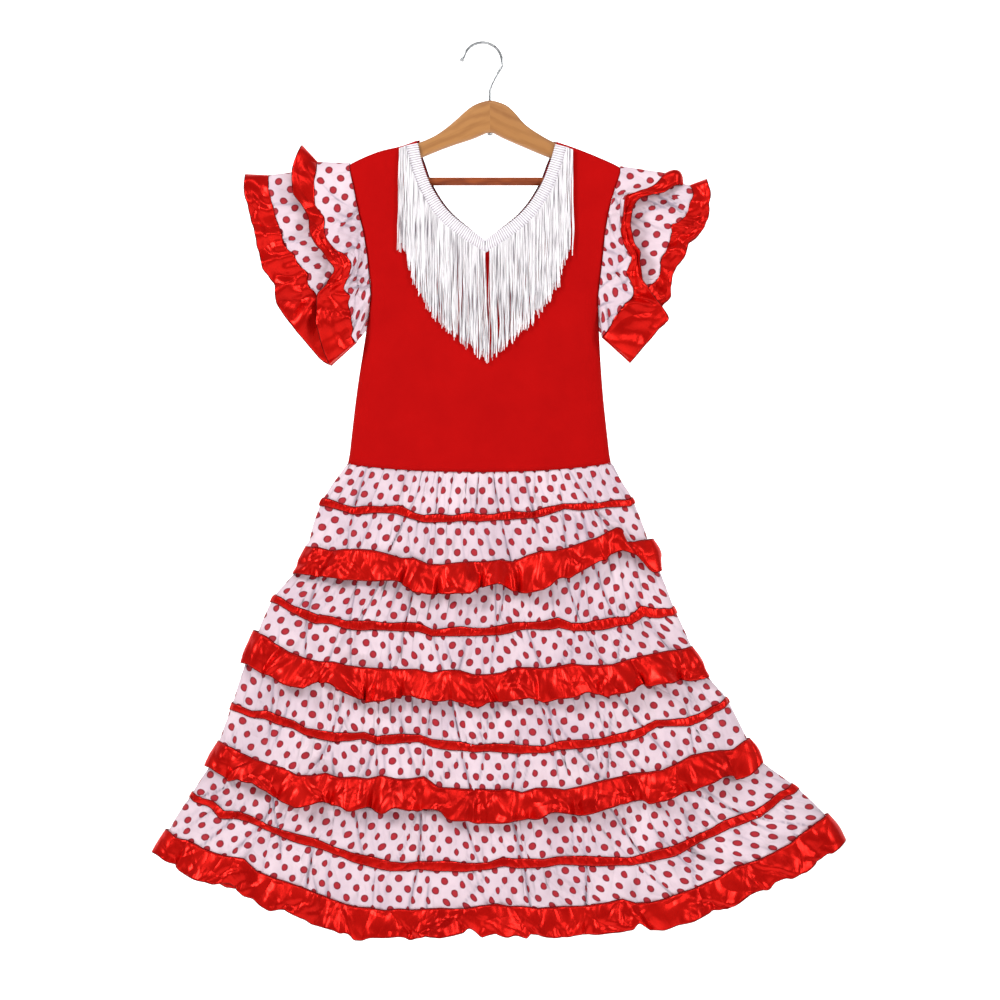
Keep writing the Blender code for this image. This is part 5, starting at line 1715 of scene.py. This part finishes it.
def dashTree():
    # Short dashes one behind the other along a line: stitches, and the painted shade along the back neck edge
    tree, given, result = startTree(
        "sewnStitches",
        {
            "Pitch": "NodeSocketFloat",
            "Stitch": "NodeSocketFloat",
            "Thickness": "NodeSocketFloat",
            "Thread": "NodeSocketMaterial",
        },
    )
    nodes, links = tree.nodes, tree.links
    edge = addNode(nodes, "GeometryNodeMeshToCurve")
    links.new(given["Geometry"], edge.inputs[0])
    places = addNode(nodes, "GeometryNodeCurveToPoints", {"mode": "LENGTH"})
    links.new(edge.outputs[0], places.inputs["Curve"])
    links.new(given["Pitch"], places.inputs["Length"])
    stitch = addNode(nodes, "GeometryNodeMeshCylinder", Vertices=5)
    links.new(given["Thickness"], stitch.inputs["Radius"])
    links.new(given["Stitch"], stitch.inputs["Depth"])
    along = addNode(nodes, "FunctionNodeAlignRotationToVector", {"axis": "Z"})
    links.new(places.outputs["Tangent"], along.inputs["Vector"])
    sewn = addNode(nodes, "GeometryNodeInstanceOnPoints")
    links.new(places.outputs["Points"], sewn.inputs["Points"])
    links.new(stitch.outputs["Mesh"], sewn.inputs["Instance"])
    links.new(along.outputs[0], sewn.inputs["Rotation"])
    real = addNode(nodes, "GeometryNodeRealizeInstances")
    links.new(sewn.outputs[0], real.inputs[0])
    coloured = addNode(nodes, "GeometryNodeSetMaterial")
    links.new(real.outputs[0], coloured.inputs["Geometry"])
    links.new(given["Thread"], coloured.inputs["Material"])
    links.new(coloured.outputs[0], result)
    return tree


dashesTree = dashTree()
stitchLook = {"pitch": 3.2 * mm, "length": 2.3 * mm, "thickness": 0.12 * mm}


def dashesAlong(name, lines, thread, look=stitchLook, closed=True):
    # One piece of dashes along several lines: stitches, and the painted shade along the back neck edge
    points, edges = [], []
    for line in lines:
        first = len(points)
        points += [tuple(p) for p in line]
        count = len(line) if closed else len(line) - 1
        edges += [(first + i, first + (i + 1) % len(line)) for i in range(count)]
    mesh = bpy.data.meshes.new(name)
    mesh.from_pydata(points, edges, [])
    guide = bpy.data.objects.new(name, mesh)
    bpy.context.scene.collection.objects.link(guide)
    modifier = guide.modifiers.new("stitches", "NODES")
    modifier.node_group = dashesTree
    setInput(modifier, "Pitch", look["pitch"])
    setInput(modifier, "Stitch", look["length"])
    setInput(modifier, "Thickness", look["thickness"])
    setInput(modifier, "Thread", thread)
    return applied(guide)


for number in tiers:
    dashesAlong(f"ruffleStitches{number}", [ruffleSeams[number]], redThread)
    dashesAlong(f"ribbonStitches{number}", ribbonSeams[number], redThread)
# Painted shade: a dark dashed cord along the back panel's neck edge stands in for the shaded edge inside the braid
neckRows = (fineRows > 0.05) & (fineRows < bodiceLook["knots"][7] - 0.003)
neckShadeLines = [
    half[neckRows, -1] + np.array([shift, -0.6, 0]) * mm
    for half, shift in zip(bodicePoints["bodiceBack"], (-0.5, 0.5))
]
dashesAlong("neckStitches", neckShadeLines, neckThread, {"pitch": 3.3 * mm, "length": 2.8 * mm, "thickness": 0.9 * mm}, closed=False)
print("seams sewn")


def makeRibs(name, inner, outer, thickness, pitch):
    # The braid: a tape whose ribs run across it, and a scalloped inner edge
    middle = (inner + outer) / 2
    run = np.concatenate([[0], np.cumsum(np.linalg.norm(np.diff(middle, axis=0), axis=1))])
    count = int(run[-1] / pitch)
    fine = np.linspace(0, run[-1], count * 8 + 1)
    innerFine = np.stack([np.interp(fine, run, inner[:, k]) for k in (0, 1)], axis=1)
    outerFine = np.stack([np.interp(fine, run, outer[:, k]) for k in (0, 1)], axis=1)
    phase = 2 * math.pi * fine / pitch
    rows = []
    across = np.linspace(0, 1, 15)
    for t in across:
        scallop = 0.9 * mm * (0.5 - 0.5 * np.cos(phase)) * math.exp(-t / 0.06)
        edge = (outerFine - innerFine) / np.linalg.norm(outerFine - innerFine, axis=1)[:, None]
        flat = innerFine + (outerFine - innerFine) * t - edge * scallop[:, None]
        twist = 0.35 * math.sin(math.pi * t * 3)
        raised = thickness * (0.45 + 0.55 * np.abs(np.cos(phase / 2 + twist)) ** 0.7)
        raised = raised * (0.55 + 0.45 * min(1, 6 * t * (1 - t) + 0.15))
        y = [frontY(x, z) for x, z in innerFine * 0.85 + outerFine * 0.15] if t < 0.15 else [frontY(x, z) for x, z in flat]
        rows.append(np.stack([flat[:, 0], np.array(y) - 0.7 * mm - raised, flat[:, 1]], axis=-1))
    rows = np.array(rows)
    uv = np.stack(np.broadcast_arrays(fine[None, :], (across * 13 * mm)[:, None]), axis=-1)
    return makeSheet(name, rows, uv, False, 0.8 * mm, braidCord)


for side in ("left", "right"):
    inner, outer = braidEdges(side, 90)
    makeRibs(f"braid{side.title()}", inner, outer, fringeLook["ribThickness"], fringeLook["ribPitch"])
    root = inner + (outer - inner) * 0.93
    root = root[root[:, 0] < 4.9 * mm] if side == "left" else root[root[:, 0] > 7.6 * mm]
    outermost = root[np.argmax(np.abs(root[:, 0]))]
    root = np.concatenate([[outermost + np.array([-7.5 if side == "left" else 6.5, -3.0]) * mm], root])
    line = lineObject(f"strands{side.title()}", [(x, frontY(x, z) - 1.5 * mm, z) for x, z in root])
    modifier = line.modifiers.new("strands", "NODES")
    modifier.node_group = strandsTree
    setInput(modifier, "Strands", fringeLook["strandsEachSide"])
    setInput(modifier, "Length", fringeLook["strandLength"])
    setInput(modifier, "Radius", fringeLook["strandRadius"])
    setInput(modifier, "Wander", 9 * mm)
    setInput(modifier, "Seed", fringeLook["seed"] + (side == "right"))
    setInput(modifier, "Bodice", finished["bodiceFront"])
    setInput(modifier, "Thread", whiteThread)
    made = applied(line)
    made.data.shade_smooth()
    # The threads beside the middle hang longer and lean together at their tips
    spots = np.empty(len(made.data.vertices) * 3)
    made.data.vertices.foreach_get("co", spots)
    spots = spots.reshape(-1, 3)
    fallen = np.clip((-238 * mm - spots[:, 2]) / fringeLook["strandLength"], 0, 1.1)
    beside = np.exp(-(((spots[:, 0] - 6.3 * mm) / (24 * mm)) ** 2))
    spots[:, 2] -= 7 * mm * fallen * beside
    pull = 4.2 if side == "left" else 1.6
    spots[:, 0] += pull * mm * fallen**1.5 * np.exp(-(((spots[:, 0] - 6.3 * mm) / (12 * mm)) ** 2))
    made.data.vertices.foreach_set("co", spots.ravel())
    if not made.data.materials:
        made.data.materials.append(whiteThread)
print("fringe made")


# What each piece replaces

stands = {f"tierCloth{n}": (f"tier_{n}", "dotted_cloth") for n in tiers}
stands.update({f"ribbon{n}": (f"ribbon_{n}", "red_satin") for n in tiers})
stands.update({f"ruffle{n}": (f"ruffle_{n}", "red_satin") for n in tiers})
stands.update({"bodiceFront": ("bodice_front", "red_jersey"), "bodiceBack": ("bodice_back", "red_jersey")})
stands.update({"hangerArmLeft": ("hanger_arm_left", "beech"), "hangerArmRight": ("hanger_arm_right", "beech")})
stands.update({"hangerBar": ("hanger_bar", "dark_beech"), "hangerNut": ("hanger_nut", "steel")})
stands.update({"hookWire": ("hanger_hook", "steel")})
for side in ("left", "right"):
    for layer in ("under", "over"):
        label = f"sleeve{side.title()}{layer.title()}"
        stands[f"{label}Cloth"] = (f"sleeve_{side}_{layer}", "dotted_cloth")
        stands[f"{label}Edging"] = (f"sleeve_{side}_{layer}_edging", "red_satin")
    stands[f"strands{side.title()}"] = (f"fringe_{side}", "white_fringe")
    stands[f"braid{side.title()}"] = (f"fringe_{side}", "white_fringe")

stands.update({f"ruffleStitches{n}": (f"ruffle_{n}", "red_satin") for n in tiers})
stands.update({f"ribbonStitches{n}": (f"ribbon_{n}", "red_satin") for n in tiers})
stands["neckStitches"] = ("bodice_back", "red_jersey")
for name, (node, slot) in stands.items():
    piece = finished[name]
    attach(piece, "root")
    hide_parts(node)

for number, cloth in tiers.items():
    above = "bodiceFront" if number == 1 else f"tierCloth{number - 1}"
    tier = skirtTiers[number - 1]
    head = skirtLevels[tier.ruffle or tier.bottom]
    foot = skirtLevels["hem" if tier.ruffle is None else tier.bottom]
for side in ("Left", "Right"):
    for layer in ("Under", "Over"):
        cloth = f"sleeve{side}{layer}Cloth"


# Camera, light and stage

stageLook = {"floorZ": -1.9, "wallY": 4.4, "top": 7.5, "halfWidth": 8, "white": (0.93, 0.93, 0.935), "floorGlow": 0.6, "wallGlow": 0.9}


def makeStage():
    profile = [(-7, stageLook["floorZ"])]
    for step in range(13):
        angle = math.radians(step * 7.5)
        profile.append((stageLook["wallY"] - 1 + math.sin(angle), stageLook["floorZ"] + 1 - math.cos(angle)))
    profile.append((stageLook["wallY"], stageLook["top"]))
    points = [(x, y, z) for y, z in profile for x in (-stageLook["halfWidth"], stageLook["halfWidth"])]
    faces = [(2 * i, 2 * i + 1, 2 * i + 3, 2 * i + 2) for i in range(len(profile) - 1)]
    mesh = bpy.data.meshes.new("paleStage")
    mesh.from_pydata(points, [], faces)
    mesh.shade_smooth()
    material, nodes, links, shader = startMaterial("palePaper", Roughness=0.9)
    shader.inputs["Base Color"].default_value = (*stageLook["white"], 1)
    shader.inputs["Emission Color"].default_value = (1, 1, 1, 1)
    place = nodes.new("ShaderNodeTexCoord")
    split = nodes.new("ShaderNodeSeparateXYZ")
    links.new(place.outputs["Object"], split.inputs[0])
    glow = nodes.new("ShaderNodeMapRange")
    glow.inputs["From Min"].default_value = stageLook["floorZ"]
    glow.inputs["From Max"].default_value = stageLook["floorZ"] + 0.6
    glow.inputs["To Min"].default_value = stageLook["floorGlow"]
    glow.inputs["To Max"].default_value = stageLook["wallGlow"]
    links.new(split.outputs["Z"], glow.inputs["Value"])
    links.new(glow.outputs["Result"], shader.inputs["Emission Strength"])
    mesh.materials.append(material)
    stage = bpy.data.objects.new("paleStage", mesh)
    bpy.context.scene.collection.objects.link(stage)


def addLight(name, place, aim, size, power, colour=(1, 1, 1)):
    light = bpy.data.lights.new(name, "AREA")
    light.shape = "RECTANGLE"
    light.size, light.size_y = size
    light.energy = power
    light.color = colour
    lamp = bpy.data.objects.new(name, light)
    lamp.location = place
    lamp.rotation_euler = (Vector(aim) - Vector(place)).to_track_quat("-Z", "Y").to_euler()
    bpy.context.scene.collection.objects.link(lamp)


makeStage()
aim = (0, 0, -0.3)
addLight("keyLeft", (-2.0, -1.7, 1.15), aim, (0.7, 0.8), 53)
addLight("fillRight", (2.1, -1.7, 0.5), aim, (0.7, 1.0), 28)
addLight("frontSoft", (0.2, -2.2, 1.5), aim, (1.2, 0.7), 13)
world = bpy.data.worlds.new("studio")
world.use_nodes = True
world.node_tree.nodes["Background"].inputs["Color"].default_value = (1, 1, 1, 1)
world.node_tree.nodes["Background"].inputs["Strength"].default_value = 0.3
bpy.context.scene.world = world

camera = bpy.data.cameras.new("front")
camera.lens = 100
camera.sensor_width = 36
cameraObject = bpy.data.objects.new("front", camera)
cameraObject.location = (0.0198, -3.139, -0.5153)
cameraObject.rotation_euler = (math.pi / 2, 0, 0)
bpy.context.scene.collection.objects.link(cameraObject)
bpy.context.scene.camera = cameraObject
bpy.context.scene.view_settings.view_transform = "Standard"
print("camera and light set")
